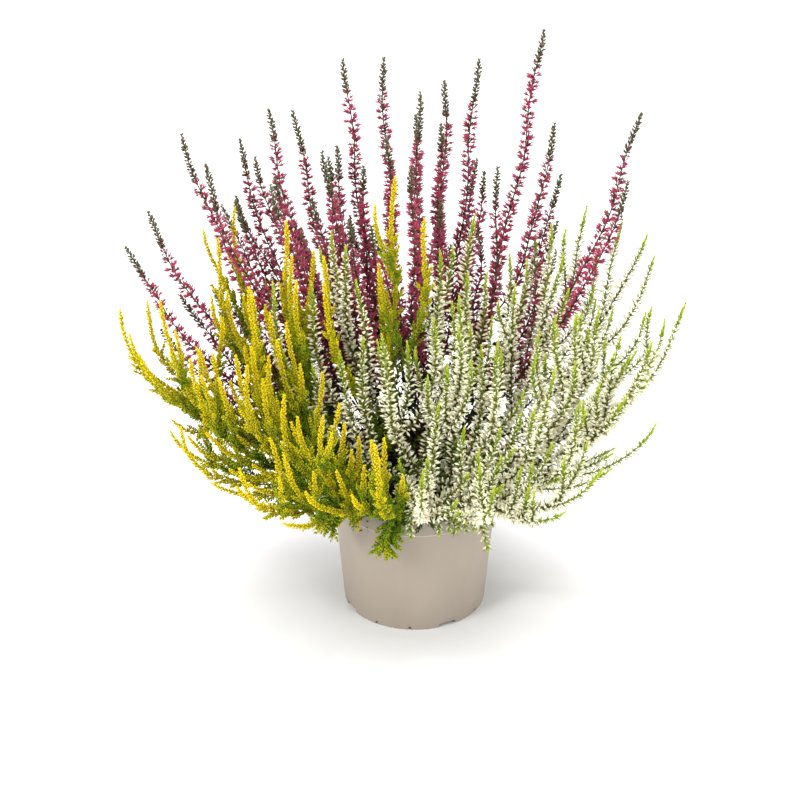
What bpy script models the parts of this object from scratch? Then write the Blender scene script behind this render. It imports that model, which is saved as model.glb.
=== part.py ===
"""Three potted heathers, pink, yellow and white, growing together in one nursery pot.

Metres, +Z up. The origin is the middle of the pot's foot, on the surface it stands on; the front faces -Y.
Every shoot follows one curve. Its flowers or leaves are raised from it by a formula, as pairs of pointed
tufts that take turns round the stem, and the side shoots of a spray are fused into its leading shoot.
"""

import math

import bmesh
import bpy
import numpy as np

MM = 0.001

# The pot: a thin tapered wall with a rim band that stands a little proud, on a foot ring
POT_HEIGHT = 94.5 * MM
FOOT_RADIUS = 51.5 * MM
BAND_FOOT = 83.0 * MM
WALL_TOP_RADIUS = 58.6 * MM
BAND_STEP = 0.9 * MM
TOP_RADIUS = 60.2 * MM
WALL = 1.2 * MM
FLOOR = 1.4 * MM
POT_SIDES = 28

# Under the pot: a flat middle, and a raised channel round it that drains through holes and foot notches
MIDDLE_RADIUS = 29.0 * MM
CHANNEL_RADIUS = 32.0 * MM
CHANNEL_HEIGHT = 3.2 * MM
DRAIN_HOLES = 6
DRAIN_RADIUS = 4.0 * MM
LONG_NOTCH_ANGLE = 27.0
LONG_NOTCH = (13.0 * MM, 2.9 * MM)
ROUND_NOTCH_ANGLES = (-4.0, 58.0)
ROUND_NOTCH = (1.5 * MM, 2.2 * MM)

# The soil: it fills the pot and is mounded a little round the stems
FIT = 0.4 * MM
POT_COLOUR = (0.47, 0.41, 0.34)
SOIL_COLOUR = (0.045, 0.028, 0.018)
SOIL_RADIUS = 57.0 * MM
SOIL_EDGE = 85.0 * MM
SOIL_CROWN = 5.0 * MM
SOIL_LUMPS = 0.7 * MM
SOIL_SIDES = 14
STEM_DEPTH = 7.0 * MM
HOLE_RADIUS = 1.9 * MM

# Shoots: points along a curve, with a ring of the surface at some of them
SEED = 11
STEP = 3.4 * MM
RING = 3
BARE_RING = 9
SIDES = 4
BLOOM, LEAFY, BARK = range(3)
LIFT = 1.0
TWIST = math.radians(35)
ROOT_SPACING = 7.0 * MM
ROOT_LIMIT = 40.0 * MM
AIR = 0.5 * MM
POT_AIR = 2.4 * MM
NEAR = 18.0 * MM
EASING_ROUNDS = 60

# Each heather. heart: the middle of its stems in the soil. spread: how far a level shoot's root moves out.
# curl: how much a shoot's lean changes, degrees. pull: how far its ends keep their lean, as a share of its size.
# core: the stem. reach: how far its flowers or leaves stand out, and tip_reach those of the leafy tip.
# tip: the leafy tip's length. bare: the share of bare stem.
SPECIES = {
    "pink": {
        "heart": (2, 24), "spread": 26, "curl": 22, "pull": 0.36,
        "core": 1.15, "reach": 6.4, "tip_reach": 2.8, "tip": (30, 54), "bare": 0.28,
        "bloom": (0.38, 0.035, 0.105), "leafy": (0.085, 0.085, 0.045), "bark": (0.09, 0.045, 0.03),
    },
    "yellow": {
        "heart": (-24, -12), "spread": 30, "curl": 50, "pull": 0.46,
        "core": 1.25, "reach": 5.0, "tip_reach": 3.4, "tip": (12, 18), "bare": 0.18,
        "bloom": (0.42, 0.42, 0.015), "leafy": (0.85, 0.68, 0.0), "bark": (0.22, 0.09, 0.02),
    },
    "white": {
        "heart": (22, -14), "spread": 30, "curl": 34, "pull": 0.46,
        "core": 1.15, "reach": 6.4, "tip_reach": 2.8, "tip": (14, 26), "bare": 0.18,
        "bloom": (0.84, 0.83, 0.72), "leafy": (0.33, 0.48, 0.06), "bark": (0.24, 0.17, 0.09),
    },
}

# The share of bare stem on a side shoot
SIDE_BARE = 0.15

# Where each spray's leading shoot ends: x, y and z in millimetres, and its number of side shoots.
# An end below the pot's rim hangs over it.
TIPS = {
    "pink": (
        (87, 85, 404, 1), (155, 60, 352, 1), (-49, 85, 382, 1), (-23, 100, 378, 1), (2, 72, 362, 1),
        (22, 112, 358, 1), (43, 92, 380, 1), (-103, 68, 352, 1), (-86, 104, 338, 1), (-163, 75, 330, 1),
        (-146, 42, 322, 1), (-188, 45, 286, 1), (-202, 25, 268, 1), (-126, 96, 318, 1), (-63, 48, 329, 1),
        (58, 66, 310, 1), (104, 100, 290, 1), (-164, 44, 222, 1), (18, 168, 236, 2), (-84, 152, 226, 2),
        (108, 144, 210, 2), (-150, 115, 190, 1),
    ),
    "yellow": (
        (-203, 0, 231, 2), (-188, 22, 228, 1), (-173, -14, 244, 1), (-139, 32, 270, 2), (-126, 50, 286, 1),
        (-90, 18, 290, 2), (-15, 8, 327, 1), (-112, -18, 256, 2), (-152, -38, 212, 2), (-114, -62, 220, 2),
        (-160, -62, 172, 2), (-118, -110, 168, 2), (-62, -98, 201, 2), (-28, -126, 194, 2),
        (-21, -78, 76, 0), (-66, -62, 88, 0),
    ),
    "white": (
        (187, 0, 236, 2), (168, -28, 238, 2), (146, 66, 270, 1), (165, -42, 165, 2), (121, 62, 282, 2),
        (94, 42, 276, 1), (66, 44, 254, 1), (40, 40, 285, 2), (16, 14, 270, 1), (-57, 22, 280, 1),
        (126, -22, 242, 1), (-100, 8, 248, 1), (31, -22, 252, 2), (56, -48, 232, 1), (92, -60, 218, 1),
        (-22, -34, 230, 2), (123, -100, 161, 2), (6, -122, 173, 1), (50, -130, 164, 2), (50, -87, 88, 0),
    ),
}


def unit(vectors):
    """Vectors of length one, along the last axis."""
    return vectors / np.maximum(np.linalg.norm(vectors, axis=-1, keepdims=True), 1e-12)


def distances(some, others):
    """The distance from each of some points to each of the others."""
    squares = (some**2).sum(axis=1)[:, None] + (others**2).sum(axis=1) - 2 * some @ others.T
    return np.sqrt(np.maximum(squares, 0))


def wall_radius(z):
    """The pot's outer radius, under the rim band, at a height."""
    return FOOT_RADIUS + (WALL_TOP_RADIUS - FOOT_RADIUS) * z / BAND_FOOT


def soil_height(x, y):
    """The soil's top: a low mound with a few lumps."""
    mound = SOIL_CROWN * (1 - (x**2 + y**2) / SOIL_RADIUS**2)
    return SOIL_EDGE + mound + SOIL_LUMPS * np.sin(x / (9 * MM)) * np.sin(y / (11 * MM) + 1)


def air_to_pot(points):
    """How far points are from the soil, the pot's rim and its outer wall."""
    out = np.linalg.norm(points[:, :2], axis=1)
    up = points[:, 2]
    over_rim = np.hypot(out - TOP_RADIUS + WALL, np.maximum(up - POT_HEIGHT, 0)) - WALL
    over_soil = np.minimum(up - soil_height(points[:, 0], points[:, 1]),
                           np.where(up < POT_HEIGHT, SOIL_RADIUS - out, over_rim))
    outside = np.where(up < POT_HEIGHT, out - TOP_RADIUS, over_rim)
    return np.where(out < SOIL_RADIUS, over_soil, outside)


def root_places():
    """Where each leading shoot leaves the soil.

    It is its plant's heart, moved out the way the shoot leans, and then all are pushed to a least spacing.
    """
    places = []
    for name, kind in SPECIES.items():
        heart = np.array(kind["heart"]) * MM
        for tip in TIPS[name]:
            away = np.array(tip[:2]) * MM - heart
            lean = math.atan2(np.linalg.norm(away), max(tip[2] * MM - SOIL_EDGE, 0))
            places.append(heart + unit(away) * kind["spread"] * MM * math.sin(lean))
    places = np.array(places)
    for _ in range(200):
        apart = places[:, None] - places[None]
        room = np.linalg.norm(apart, axis=2)
        push = np.clip(ROOT_SPACING - room, 0, None)
        np.fill_diagonal(push, 0)
        np.fill_diagonal(room, 1)
        places = places + 0.3 * (apart / room[..., None] * push[..., None]).sum(axis=1)
        out = np.linalg.norm(places, axis=1, keepdims=True)
        places = places * np.minimum(1, ROOT_LIMIT / np.maximum(out, MM))
    return places


def curve(start, start_pull, end_pull, end):
    """A cubic curve through start and end, read at even steps of its length."""
    t = np.linspace(0, 1, 120)[:, None]
    fine = (1 - t) ** 3 * start + 3 * (1 - t) ** 2 * t * start_pull + 3 * (1 - t) * t**2 * end_pull + t**3 * end
    run = np.concatenate([[0], np.cumsum(np.linalg.norm(np.diff(fine, axis=0), axis=1))])
    count = RING * round(run[-1] / STEP / RING) + 1
    even = np.linspace(0, run[-1], count)
    return np.stack([np.interp(even, run, fine[:, axis]) for axis in range(3)], axis=1)


def reach_along(path, kind, tip_length, bare):
    """How far tufts stand out along a shoot: not at all at its bare foot, then most, and less on its tip."""
    run = np.arange(len(path)) * STEP
    total = run[-1]
    core = kind["core"] * MM
    reach = kind["reach"] * MM
    end = kind["tip_reach"] * MM
    marks = [0, bare, bare + 12 * MM, total - tip_length - 10 * MM, total - tip_length, total]
    return np.interp(run, np.maximum.accumulate(marks), [core, core, reach, 0.85 * reach, end, 0.8 * end])


def least_air(path, reach, shoots, first):
    """The least air between a new shoot, from its point first on, and the pot and the shoots there are."""
    least = (air_to_pot(path[3:]) - POT_AIR).min()
    if shoots:
        points = np.concatenate([shoot["path"][::2] for shoot in shoots])
        reaches = np.concatenate([shoot["reach"][::2] for shoot in shoots])
        least = min(least, (distances(path[first:], points) - reach[first:, None] - reaches).min())
    return least


def toward(flat, lean):
    """The direction that leans from upright by an angle, towards a level direction."""
    return flat * math.sin(lean) + np.array([0, 0, math.cos(lean)])


def grow_leader(name, spray, tip, place, shoots, rng):
    """A leading shoot: it starts out leaning, and curls up towards its tip. The roomiest of some tries stays."""
    kind = SPECIES[name]
    end = np.array(tip[:3]) * MM
    root = np.array([place[0], place[1], soil_height(place[0], place[1]) + MM])
    chord = end - root
    size = np.linalg.norm(chord)
    flat = unit(np.array([chord[0], chord[1], 0.0]))
    aside = np.array([-flat[1], flat[0], 0.0])
    lean = math.acos(chord[2] / size)
    curl = math.radians(kind["curl"]) * min(1.5 * lean, 1)
    last_lean = max(lean - curl, 0) if end[2] > POT_HEIGHT else math.radians(150)
    tip_length = rng.uniform(*kind["tip"]) * MM
    pull = kind["pull"] * size
    best = None
    for attempt in range(18):
        bow = rng.uniform(-1, 1) * 0.12 * size * attempt / 17
        first_lean = min(lean + curl, math.radians(76 - 1.5 * attempt))
        path = curve(root, root + pull * toward(flat, first_lean) + aside * bow,
                     end - pull * toward(flat, last_lean) + aside * bow / 2, end)
        reach = reach_along(path, kind, tip_length, kind["bare"] * len(path) * STEP)
        air = least_air(path, reach, shoots, 2)
        if best is None or air > best["air"]:
            best = {"name": name, "spray": spray, "path": path, "reach": reach, "air": air, "joint": None,
                    "tip_length": tip_length}
        if air > MM:
            break
    return best


def grow_side(leader, turn, shoots, rng):
    """A side shoot: it leaves its leader low down and ends beside the leader's upper part, no lower."""
    kind = SPECIES[leader["name"]]
    path = leader["path"]
    ahead = unit(np.gradient(path, axis=0))
    farthest = np.linalg.norm(path[-1, :2])
    best = None
    for _ in range(24):
        joint = RING * int(len(path) * rng.uniform(0.22, 0.48) / RING)
        beside = int(len(path) * rng.uniform(0.68, 0.9))
        angle = turn + rng.uniform(-1.2, 1.2)
        across = unit(np.cross(ahead[beside], [0.3, 0.1, 1.0]))
        out = across * math.cos(angle) + np.cross(ahead[beside], across) * math.sin(angle)
        out[2] = abs(out[2])
        end = path[beside] + out * rng.uniform(15, 27) * MM
        span = np.linalg.norm(end - path[joint])
        new = curve(path[joint], path[joint] + 0.35 * span * unit(ahead[joint] + 0.8 * out),
                    end - 0.35 * span * unit(ahead[beside] + 0.1 * out), end)
        tip_length = 0.7 * rng.uniform(*kind["tip"]) * MM
        reach = reach_along(new, kind, tip_length, SIDE_BARE * len(new) * STEP)
        air = least_air(new, reach, shoots, 9) - max(np.linalg.norm(end[:2]) - farthest, 0)
        if best is None or air > best["air"]:
            best = {"name": leader["name"], "spray": leader["spray"], "path": new, "reach": reach,
                    "air": air, "joint": joint, "leader": leader, "tip_length": tip_length}
        if air > MM:
            break
    return best


def close_pairs(points, spray):
    """Pairs of points of different sprays that are near each other."""
    found = []
    for low in range(0, len(points), 400):
        part = slice(low, low + 400)
        one, other = np.nonzero((distances(points[part], points) < NEAR) & (spray[part, None] != spray))
        found.append((one + low, other))
    return (np.concatenate(part) for part in zip(*found))


def ease_apart(shoots):
    """Crowded shoots of different sprays bend away from each other, and then their tufts are cut to fit."""
    points = np.concatenate([shoot["path"] for shoot in shoots])
    reach = np.concatenate([shoot["reach"] for shoot in shoots])
    spray = np.concatenate([np.full(len(shoot["path"]), shoot["spray"]) for shoot in shoots])
    sizes = [len(shoot["path"]) for shoot in shoots]
    starts = np.cumsum([0] + sizes)
    for shoot, start in zip(shoots, starts):
        shoot["start"] = start
    before = np.maximum(np.arange(len(points)) - 1, np.repeat(starts[:-1], sizes))
    after = np.minimum(np.arange(len(points)) + 1, np.repeat(starts[1:] - 1, sizes))
    loose = np.concatenate([np.clip(np.arange(len(shoot["path"])) / (10 if shoot["joint"] is None else 4), 0, 1)
                            for shoot in shoots])
    for turn in range(EASING_ROUNDS):
        if turn % 12 == 0:
            one, other = close_pairs(points, spray)
        apart = points[one] - points[other]
        gap = np.linalg.norm(apart, axis=1)
        short = np.clip(reach[one] + reach[other] + 2 * AIR - gap, 0, None)
        push = apart * (0.25 * short / np.maximum(gap, 1e-9))[:, None]
        crowd = np.maximum(np.bincount(one[short > 0], minlength=len(points)), 1) ** 0.5
        move = np.stack([np.bincount(one, push[:, axis], len(points)) for axis in range(3)], axis=1)
        move /= crowd[:, None]
        lack = np.where(loose > 0.3, np.clip(POT_AIR - air_to_pot(points), 0, 3 * MM), 0)
        beside = (np.linalg.norm(points[:, :2], axis=1) > TOP_RADIUS - WALL / 2) & (points[:, 2] < POT_HEIGHT)
        move[:, 2] += np.where(beside, 0, lack)
        move[:, :2] += unit(points[:, :2]) * np.where(beside, lack, 0)[:, None]
        for _ in range(8):
            move = (move[before] + 2 * move + move[after]) / 4
        points = points + move * loose[:, None]
        for shoot, size in zip(shoots, sizes):
            if shoot["joint"] is not None:
                own = slice(shoot["start"], shoot["start"] + size)
                points[own] += points[shoot["leader"]["start"] + shoot["joint"]] - points[shoot["start"]]
    one, other = close_pairs(points, spray)
    gap = np.linalg.norm(points[one] - points[other], axis=1)
    for _ in range(6):
        share = (gap - AIR) * reach[one] / (reach[one] + reach[other])
        fits = reach.copy()
        np.minimum.at(fits, one, share)
        reach = fits
    reach = np.minimum(reach, air_to_pot(points) - 0.4 * MM)
    for shoot, size in zip(shoots, sizes):
        own = slice(shoot["start"], shoot["start"] + size)
        shoot["path"] = points[own]
        shoot["reach"] = reach[own]


def grow_plants():
    """All the shoots of the three heathers, each with its path and its reach."""
    rng = np.random.default_rng(SEED)
    places = root_places()
    leaders = []
    for name in SPECIES:
        for tip in TIPS[name]:
            spray = len(leaders)
            leaders.append(grow_leader(name, spray, tip, places[spray], leaders, rng))
    shoots = list(leaders)
    tips = [tip for name in SPECIES for tip in TIPS[name]]
    for leader, tip in zip(leaders, tips):
        turn = rng.uniform(0, 2 * math.pi)
        for nth in range(tip[3]):
            shoots.append(grow_side(leader, turn + math.pi * nth, shoots, rng))
    ease_apart(shoots)
    return shoots


def frames_along(path):
    """The direction of a path at each point, and two across it that are carried along without twist."""
    ahead = unit(np.gradient(path, axis=0))
    across = np.empty_like(path)
    across[0] = unit(np.cross(ahead[0], [0.31, 0.95, 0.02]))
    for k in range(1, len(path)):
        across[k] = unit(across[k - 1] - ahead[k] * np.dot(across[k - 1], ahead[k]))
    return ahead, across, np.cross(ahead, across)


def shoot_surface(shoot, joints):
    """A shoot's closed surface: rings of four points, two of which stand out as the tips of tufts.

    On the next ring the other two stand out, so each tuft is a pyramid between four points of the stem. It
    leans up the stem by LIFT times its length, each ring is turned on by TWIST, and one half of a ring lies
    half a ring higher, so the tufts wind up the stem. joints are where side shoots leave the path.
    """
    kind = SPECIES[shoot["name"]]
    core = kind["core"] * MM
    path = shoot["path"]
    last = len(path) - 1
    index = np.arange(last + 1)
    tuft = np.min([shoot["reach"][np.clip(index + shift, 0, last)] for shift in range(-RING, RING + 1)], axis=0)
    bare = int(np.argmax(tuft > 1.5 * core)) // BARE_RING * BARE_RING
    stem = core * (1 - 0.4 * index / last)
    tuft = np.where(index < bare, stem, np.maximum(tuft, stem))
    rings = sorted(set(range(0, bare, BARE_RING)) | set(range(bare, last, RING)) | set(joints))
    if shoot["joint"] is None:
        path = np.concatenate([path[:1] - [[0, 0, MM + STEM_DEPTH]], path])
        stem = np.concatenate([stem[:1], stem])
        tuft = np.concatenate([stem[:1], tuft])
        rings = [0] + [ring + 1 for ring in rings]
    else:
        stem[0] = 0.5 * core
        tuft[0] = stem[0]
    ahead, across, over = frames_along(path)
    number = np.arange(len(rings))[:, None]
    side = np.arange(SIDES)
    turn = (side * 2 * math.pi / SIDES + number * TWIST)[..., None]
    outward = across[rings, None] * np.cos(turn) + over[rings, None] * np.sin(turn)
    stands_out = (number + side) % 2 == 0
    radius = np.where(stands_out, tuft[rings, None], stem[rings, None])
    leafy = np.clip(tuft[rings, None] / stem[rings, None] - 1, 0, 1)
    lift = LIFT * (radius - stem[rings, None]) + leafy * (side >= SIDES // 2) * RING * STEP / 2
    points = path[rings, None] + outward * radius[..., None] + ahead[rings, None] * lift[..., None]
    points = np.concatenate([points.reshape(-1, 3), path[-1:]])
    ring, side = np.indices((len(rings) - 1, SIDES)).reshape(2, -1)
    a = ring * SIDES + side
    b = ring * SIDES + (side + 1) % SIDES
    c = b + SIDES
    d = a + SIDES
    valley = stands_out[ring, side]
    lower = np.where(valley, [a, b, d], [a, b, c]).T
    upper = np.where(valley, [b, c, d], [a, c, d]).T
    last_ring = (len(rings) - 1) * SIDES + np.arange(SIDES)
    cap = np.stack([last_ring, np.roll(last_ring, -1), np.full(SIDES, len(points) - 1)], axis=1)
    faces = np.concatenate([[[3, 2, 1], [3, 1, 0]], lower, upper, cap])
    run = np.array(rings)[ring] * STEP
    zone = np.where(tuft[rings][ring] <= stem[rings][ring], BARK, BLOOM)
    zone = np.where(run > last * STEP - shoot["tip_length"], LEAFY, zone)
    zones = np.concatenate([[BARK, BARK], zone, zone, np.full(SIDES, LEAFY)])
    return points, faces, zones


def make_collection(name):
    """A collection in the scene."""
    group = bpy.data.collections.new(name)
    bpy.context.scene.collection.children.link(group)
    return group


def make_material(name, colour, roughness):
    """A plain finish."""
    finish = bpy.data.materials.new(name)
    finish.use_nodes = True
    surface = finish.node_tree.nodes["Principled BSDF"]
    surface.inputs["Base Color"].default_value = (*colour, 1)
    surface.inputs["Roughness"].default_value = roughness
    finish.diffuse_color = (*colour, 1)
    return finish


def mesh_object(name, points, faces, group, finishes, zones=None):
    """An object of points and faces, with a finish for each face's zone."""
    mesh = bpy.data.meshes.new(name)
    mesh.from_pydata(points.tolist(), [], faces.tolist())
    for finish in finishes:
        mesh.materials.append(finish)
    if zones is not None:
        mesh.polygons.foreach_set("material_index", zones.astype(np.int32))
    thing = bpy.data.objects.new(name, mesh)
    group.objects.link(thing)
    return thing


def apply_modifiers(thing):
    """Replaces an object's mesh by what its modifiers make of it."""
    shape = bpy.data.meshes.new_from_object(thing.evaluated_get(bpy.context.evaluated_depsgraph_get()))
    thing.modifiers.clear()
    thing.data = shape


def shade_round(thing):
    """Shades a turned shape smooth round its sides, and sharp at its edges."""
    thing.data.shade_smooth()
    thing.data.set_sharp_from_angle(angle=math.radians(35))


def remove_collection(group):
    """Removes a collection with its objects."""
    for thing in list(group.objects):
        bpy.data.objects.remove(thing)
    bpy.data.collections.remove(group)


def add_boolean(thing, operation, group, solver="EXACT"):
    """Cuts or joins a collection's objects."""
    boolean = thing.modifiers.new(operation.lower(), "BOOLEAN")
    boolean.operation = operation
    boolean.operand_type = "COLLECTION"
    boolean.collection = group
    boolean.solver = solver


def keep_largest_shell(thing):
    """Drops all but the largest connected surface, which fills any hollow that joining has sealed."""
    shape = bmesh.new()
    shape.from_mesh(thing.data)
    unseen = set(shape.verts)
    shells = []
    while unseen:
        front = [unseen.pop()]
        shell = set(front)
        while front:
            for edge in front.pop().link_edges:
                new = unseen.intersection(edge.verts)
                unseen -= new
                shell |= new
                front.extend(new)
        shells.append(shell)
    shells.sort(key=len)
    for shell in shells[:-1]:
        bmesh.ops.delete(shape, geom=list(shell), context="VERTS")
    shape.to_mesh(thing.data)
    shape.free()


def make_spray(name, shoots, group, finishes):
    """A leading shoot with its side shoots fused into it."""
    leader = shoots[0]
    joints = [side["joint"] for side in shoots[1:]]
    points, faces, zones = shoot_surface(leader, joints)
    spray = mesh_object(name, points, faces, group, finishes, zones)
    if joints:
        sides = make_collection("side shoots")
        for side in shoots[1:]:
            points, faces, zones = shoot_surface(side, [])
            mesh_object("side shoot", points, faces, sides, finishes, zones)
        add_boolean(spray, "UNION", sides, "MANIFOLD")
        apply_modifiers(spray)
        keep_largest_shell(spray)
        remove_collection(sides)


def turned(name, profile, sides, group, finish):
    """A turned shape: a profile of (radius, height) points, from the middle of its top to that of its foot."""
    mesh = bpy.data.meshes.new(name)
    points = [(radius, 0, height) for radius, height in profile]
    mesh.from_pydata(points, [(k, k + 1) for k in range(len(points) - 1)], [])
    mesh.materials.append(finish)
    thing = bpy.data.objects.new(name, mesh)
    group.objects.link(thing)
    screw = thing.modifiers.new("turn", "SCREW")
    screw.steps = sides
    screw.render_steps = sides
    screw.use_merge_vertices = True
    screw.merge_threshold = 0.01 * MM
    return thing


def as_cutter(thing, name, group, turn=0.0):
    """Makes an object one of a collection of cutters, turned about its own upright axis."""
    thing.name = name
    thing.rotation_euler.z = turn
    thing.hide_render = True
    thing.display_type = "WIRE"
    for old in thing.users_collection:
        old.objects.unlink(thing)
    group.objects.link(thing)


def make_pot(group, finish):
    """The pot: one turned wall, with drain holes in its raised channel and notches in its foot ring."""
    profile = (
        (0, FLOOR),
        (MIDDLE_RADIUS - FLOOR, FLOOR),
        (CHANNEL_RADIUS - FLOOR, CHANNEL_HEIGHT + FLOOR),
        (wall_radius(CHANNEL_HEIGHT + FLOOR) - WALL, CHANNEL_HEIGHT + FLOOR),
        (WALL_TOP_RADIUS - WALL, BAND_FOOT),
        (TOP_RADIUS - WALL, POT_HEIGHT - WALL / 2),
        (TOP_RADIUS - WALL / 2, POT_HEIGHT),
        (TOP_RADIUS, POT_HEIGHT - WALL / 2),
        (WALL_TOP_RADIUS + BAND_STEP, BAND_FOOT + BAND_STEP / 2),
        (WALL_TOP_RADIUS, BAND_FOOT),
        (FOOT_RADIUS, 0),
        (FOOT_RADIUS - WALL, 0),
        (wall_radius(CHANNEL_HEIGHT) - WALL, CHANNEL_HEIGHT),
        (CHANNEL_RADIUS, CHANNEL_HEIGHT),
        (MIDDLE_RADIUS, 0),
        (0, 0),
    )
    pot = turned("pot", profile, POT_SIDES, group, finish)
    cuts = make_collection("cuts in the pot")
    channel_middle = (CHANNEL_RADIUS + FOOT_RADIUS - WALL) / 2
    for hole in range(DRAIN_HOLES):
        turn = 2 * math.pi * (hole + 0.5) / DRAIN_HOLES
        place = (channel_middle * math.cos(turn), channel_middle * math.sin(turn), CHANNEL_HEIGHT + FLOOR / 2)
        bpy.ops.mesh.primitive_cylinder_add(vertices=8, radius=DRAIN_RADIUS, depth=3 * FLOOR, location=place)
        as_cutter(bpy.context.object, "drain hole", cuts, turn)
    ring_middle = FOOT_RADIUS - WALL / 2
    for pattern in range(4):
        for angle in (LONG_NOTCH_ANGLE, *ROUND_NOTCH_ANGLES):
            turn = math.radians(angle + 90 * pattern - 90)
            place = (ring_middle * math.cos(turn), ring_middle * math.sin(turn), 0)
            if angle == LONG_NOTCH_ANGLE:
                bpy.ops.mesh.primitive_cube_add(size=1, location=place)
                bpy.context.object.scale = (4 * WALL, LONG_NOTCH[0], 2 * LONG_NOTCH[1])
            else:
                bpy.ops.mesh.primitive_cylinder_add(vertices=8, radius=1, depth=4 * WALL, location=place)
                bpy.context.object.rotation_euler.y = math.pi / 2
                bpy.context.object.scale = (ROUND_NOTCH[1], ROUND_NOTCH[0], 1)
            as_cutter(bpy.context.object, "foot notch", cuts, turn)
    add_boolean(pot, "DIFFERENCE", cuts)
    apply_modifiers(pot)
    shade_round(pot)
    remove_collection(cuts)


def make_soil(group, finish, roots):
    """The soil: a turned plug a little clear of the pot, with a lumpy top and a plain hole for each stem."""
    rings = [SOIL_RADIUS * share for share in (0, 0.3, 0.55, 0.8, 1)]
    profile = [(radius, soil_height(radius, 0)) for radius in rings]
    foot = CHANNEL_HEIGHT + FLOOR + FIT
    profile += [
        (wall_radius(foot) - WALL - FIT, foot),
        (CHANNEL_RADIUS - FLOOR - FIT / 2, foot),
        (MIDDLE_RADIUS - FLOOR - FIT / 2, FLOOR + FIT),
        (0, FLOOR + FIT),
    ]
    soil = turned("soil", profile, SOIL_SIDES, group, finish)
    apply_modifiers(soil)
    for point in soil.data.vertices:
        x, y, z = point.co
        if z > SOIL_EDGE - FIT:
            point.co.z = soil_height(x, y)
    cuts = make_collection("stem holes")
    for x, y, z in roots:
        bottom = z - MM - STEM_DEPTH - FIT
        depth = 2 * STEM_DEPTH
        bpy.ops.mesh.primitive_cylinder_add(vertices=5, radius=HOLE_RADIUS, depth=depth,
                                            location=(x, y, bottom + depth / 2))
        as_cutter(bpy.context.object, "stem hole", cuts)
    add_boolean(soil, "DIFFERENCE", cuts)
    apply_modifiers(soil)
    remove_collection(cuts)


def main():
    for thing in list(bpy.data.objects):
        bpy.data.objects.remove(thing)
    shoots = grow_plants()
    leaders = [shoot for shoot in shoots if shoot["joint"] is None]
    group = make_collection("potted heather")
    make_pot(group, make_material("pot plastic", POT_COLOUR, 0.55))
    make_soil(group, make_material("potting soil", SOIL_COLOUR, 0.95), [leader["path"][0] for leader in leaders])
    for name, kind in SPECIES.items():
        finishes = [make_material(f"{name} {zone}", kind[zone], 0.7) for zone in ("bloom", "leafy", "bark")]
        own = [leader for leader in leaders if leader["name"] == name]
        for number, leader in enumerate(own, 1):
            spray = [shoot for shoot in shoots if shoot["spray"] == leader["spray"]]
            make_spray(f"{name}_spray_{number:02d}", spray, group, finishes)


main()
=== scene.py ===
"""The looks of three heathers, pink, yellow and white, that grow together in one nursery pot.

Metres, +Z up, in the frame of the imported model; the front faces -Y. The model's shoots keep their curves
and get their own stems, scale leaves, twigs and flowers, and finer shoots fill the gaps. Each new shape is
worked out with numpy as rings of points along an axis, closed by a pole at each end, and small shapes are
copied as arrays.
"""

import math

import bpy
import numpy as np
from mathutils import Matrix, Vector


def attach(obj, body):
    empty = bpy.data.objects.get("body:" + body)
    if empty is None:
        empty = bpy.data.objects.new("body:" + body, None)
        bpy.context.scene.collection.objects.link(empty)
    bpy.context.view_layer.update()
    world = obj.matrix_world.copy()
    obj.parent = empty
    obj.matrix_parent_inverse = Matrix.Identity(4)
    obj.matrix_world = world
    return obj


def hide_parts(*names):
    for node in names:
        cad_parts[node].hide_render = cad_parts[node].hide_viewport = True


MM = 0.001

# The camera, at the photograph's angle, with its focal length and the film's width in millimetres
AIM = (-0.0107, 0.0, 0.1601)
DISTANCE = 1.55
ELEVATION = math.radians(28)
LENS = 98.7
FILM = 36.0

# The pot: a thin tapered wall with a rim band that stands a little proud, on a foot ring
POT_HEIGHT = 94.5 * MM
FOOT_RADIUS = 51.5 * MM
BAND_FOOT = 83.0 * MM
WALL_TOP_RADIUS = 58.6 * MM
BAND_STEP = 0.9 * MM
TOP_RADIUS = 60.2 * MM
WALL = 1.2 * MM
FLOOR = 1.4 * MM
MIDDLE_RADIUS = 29.0 * MM
CHANNEL_RADIUS = 32.0 * MM
CHANNEL_HEIGHT = 3.2 * MM
DRAIN_HOLES = 6
DRAIN_RADIUS = 4.0 * MM

# Notches in the foot ring, which repeat every quarter turn: angle, half width, height and squareness. The
# ring is squeezed up to them below FOOT_ZONE.
NOTCHES = (
    (27.0, 6.5 * MM, 2.9 * MM, 12),
    (-4.0, 1.5 * MM, 2.2 * MM, 2),
    (58.0, 1.5 * MM, 2.2 * MM, 2),
    (-18.0, 0.9 * MM, 0.7 * MM, 2),
    (11.0, 0.9 * MM, 0.7 * MM, 2),
    (43.0, 0.9 * MM, 0.7 * MM, 2),
)
FOOT_ZONE = 5.0 * MM

# The soil, which clears the pot's inside by FIT
FIT = 0.4 * MM
SOIL_RADIUS = 57.0 * MM
SOIL_EDGE = 85.0 * MM
SOIL_CROWN = 5.0 * MM
SOIL_LUMPS = 0.7 * MM
CRUMBS = 520

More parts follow.
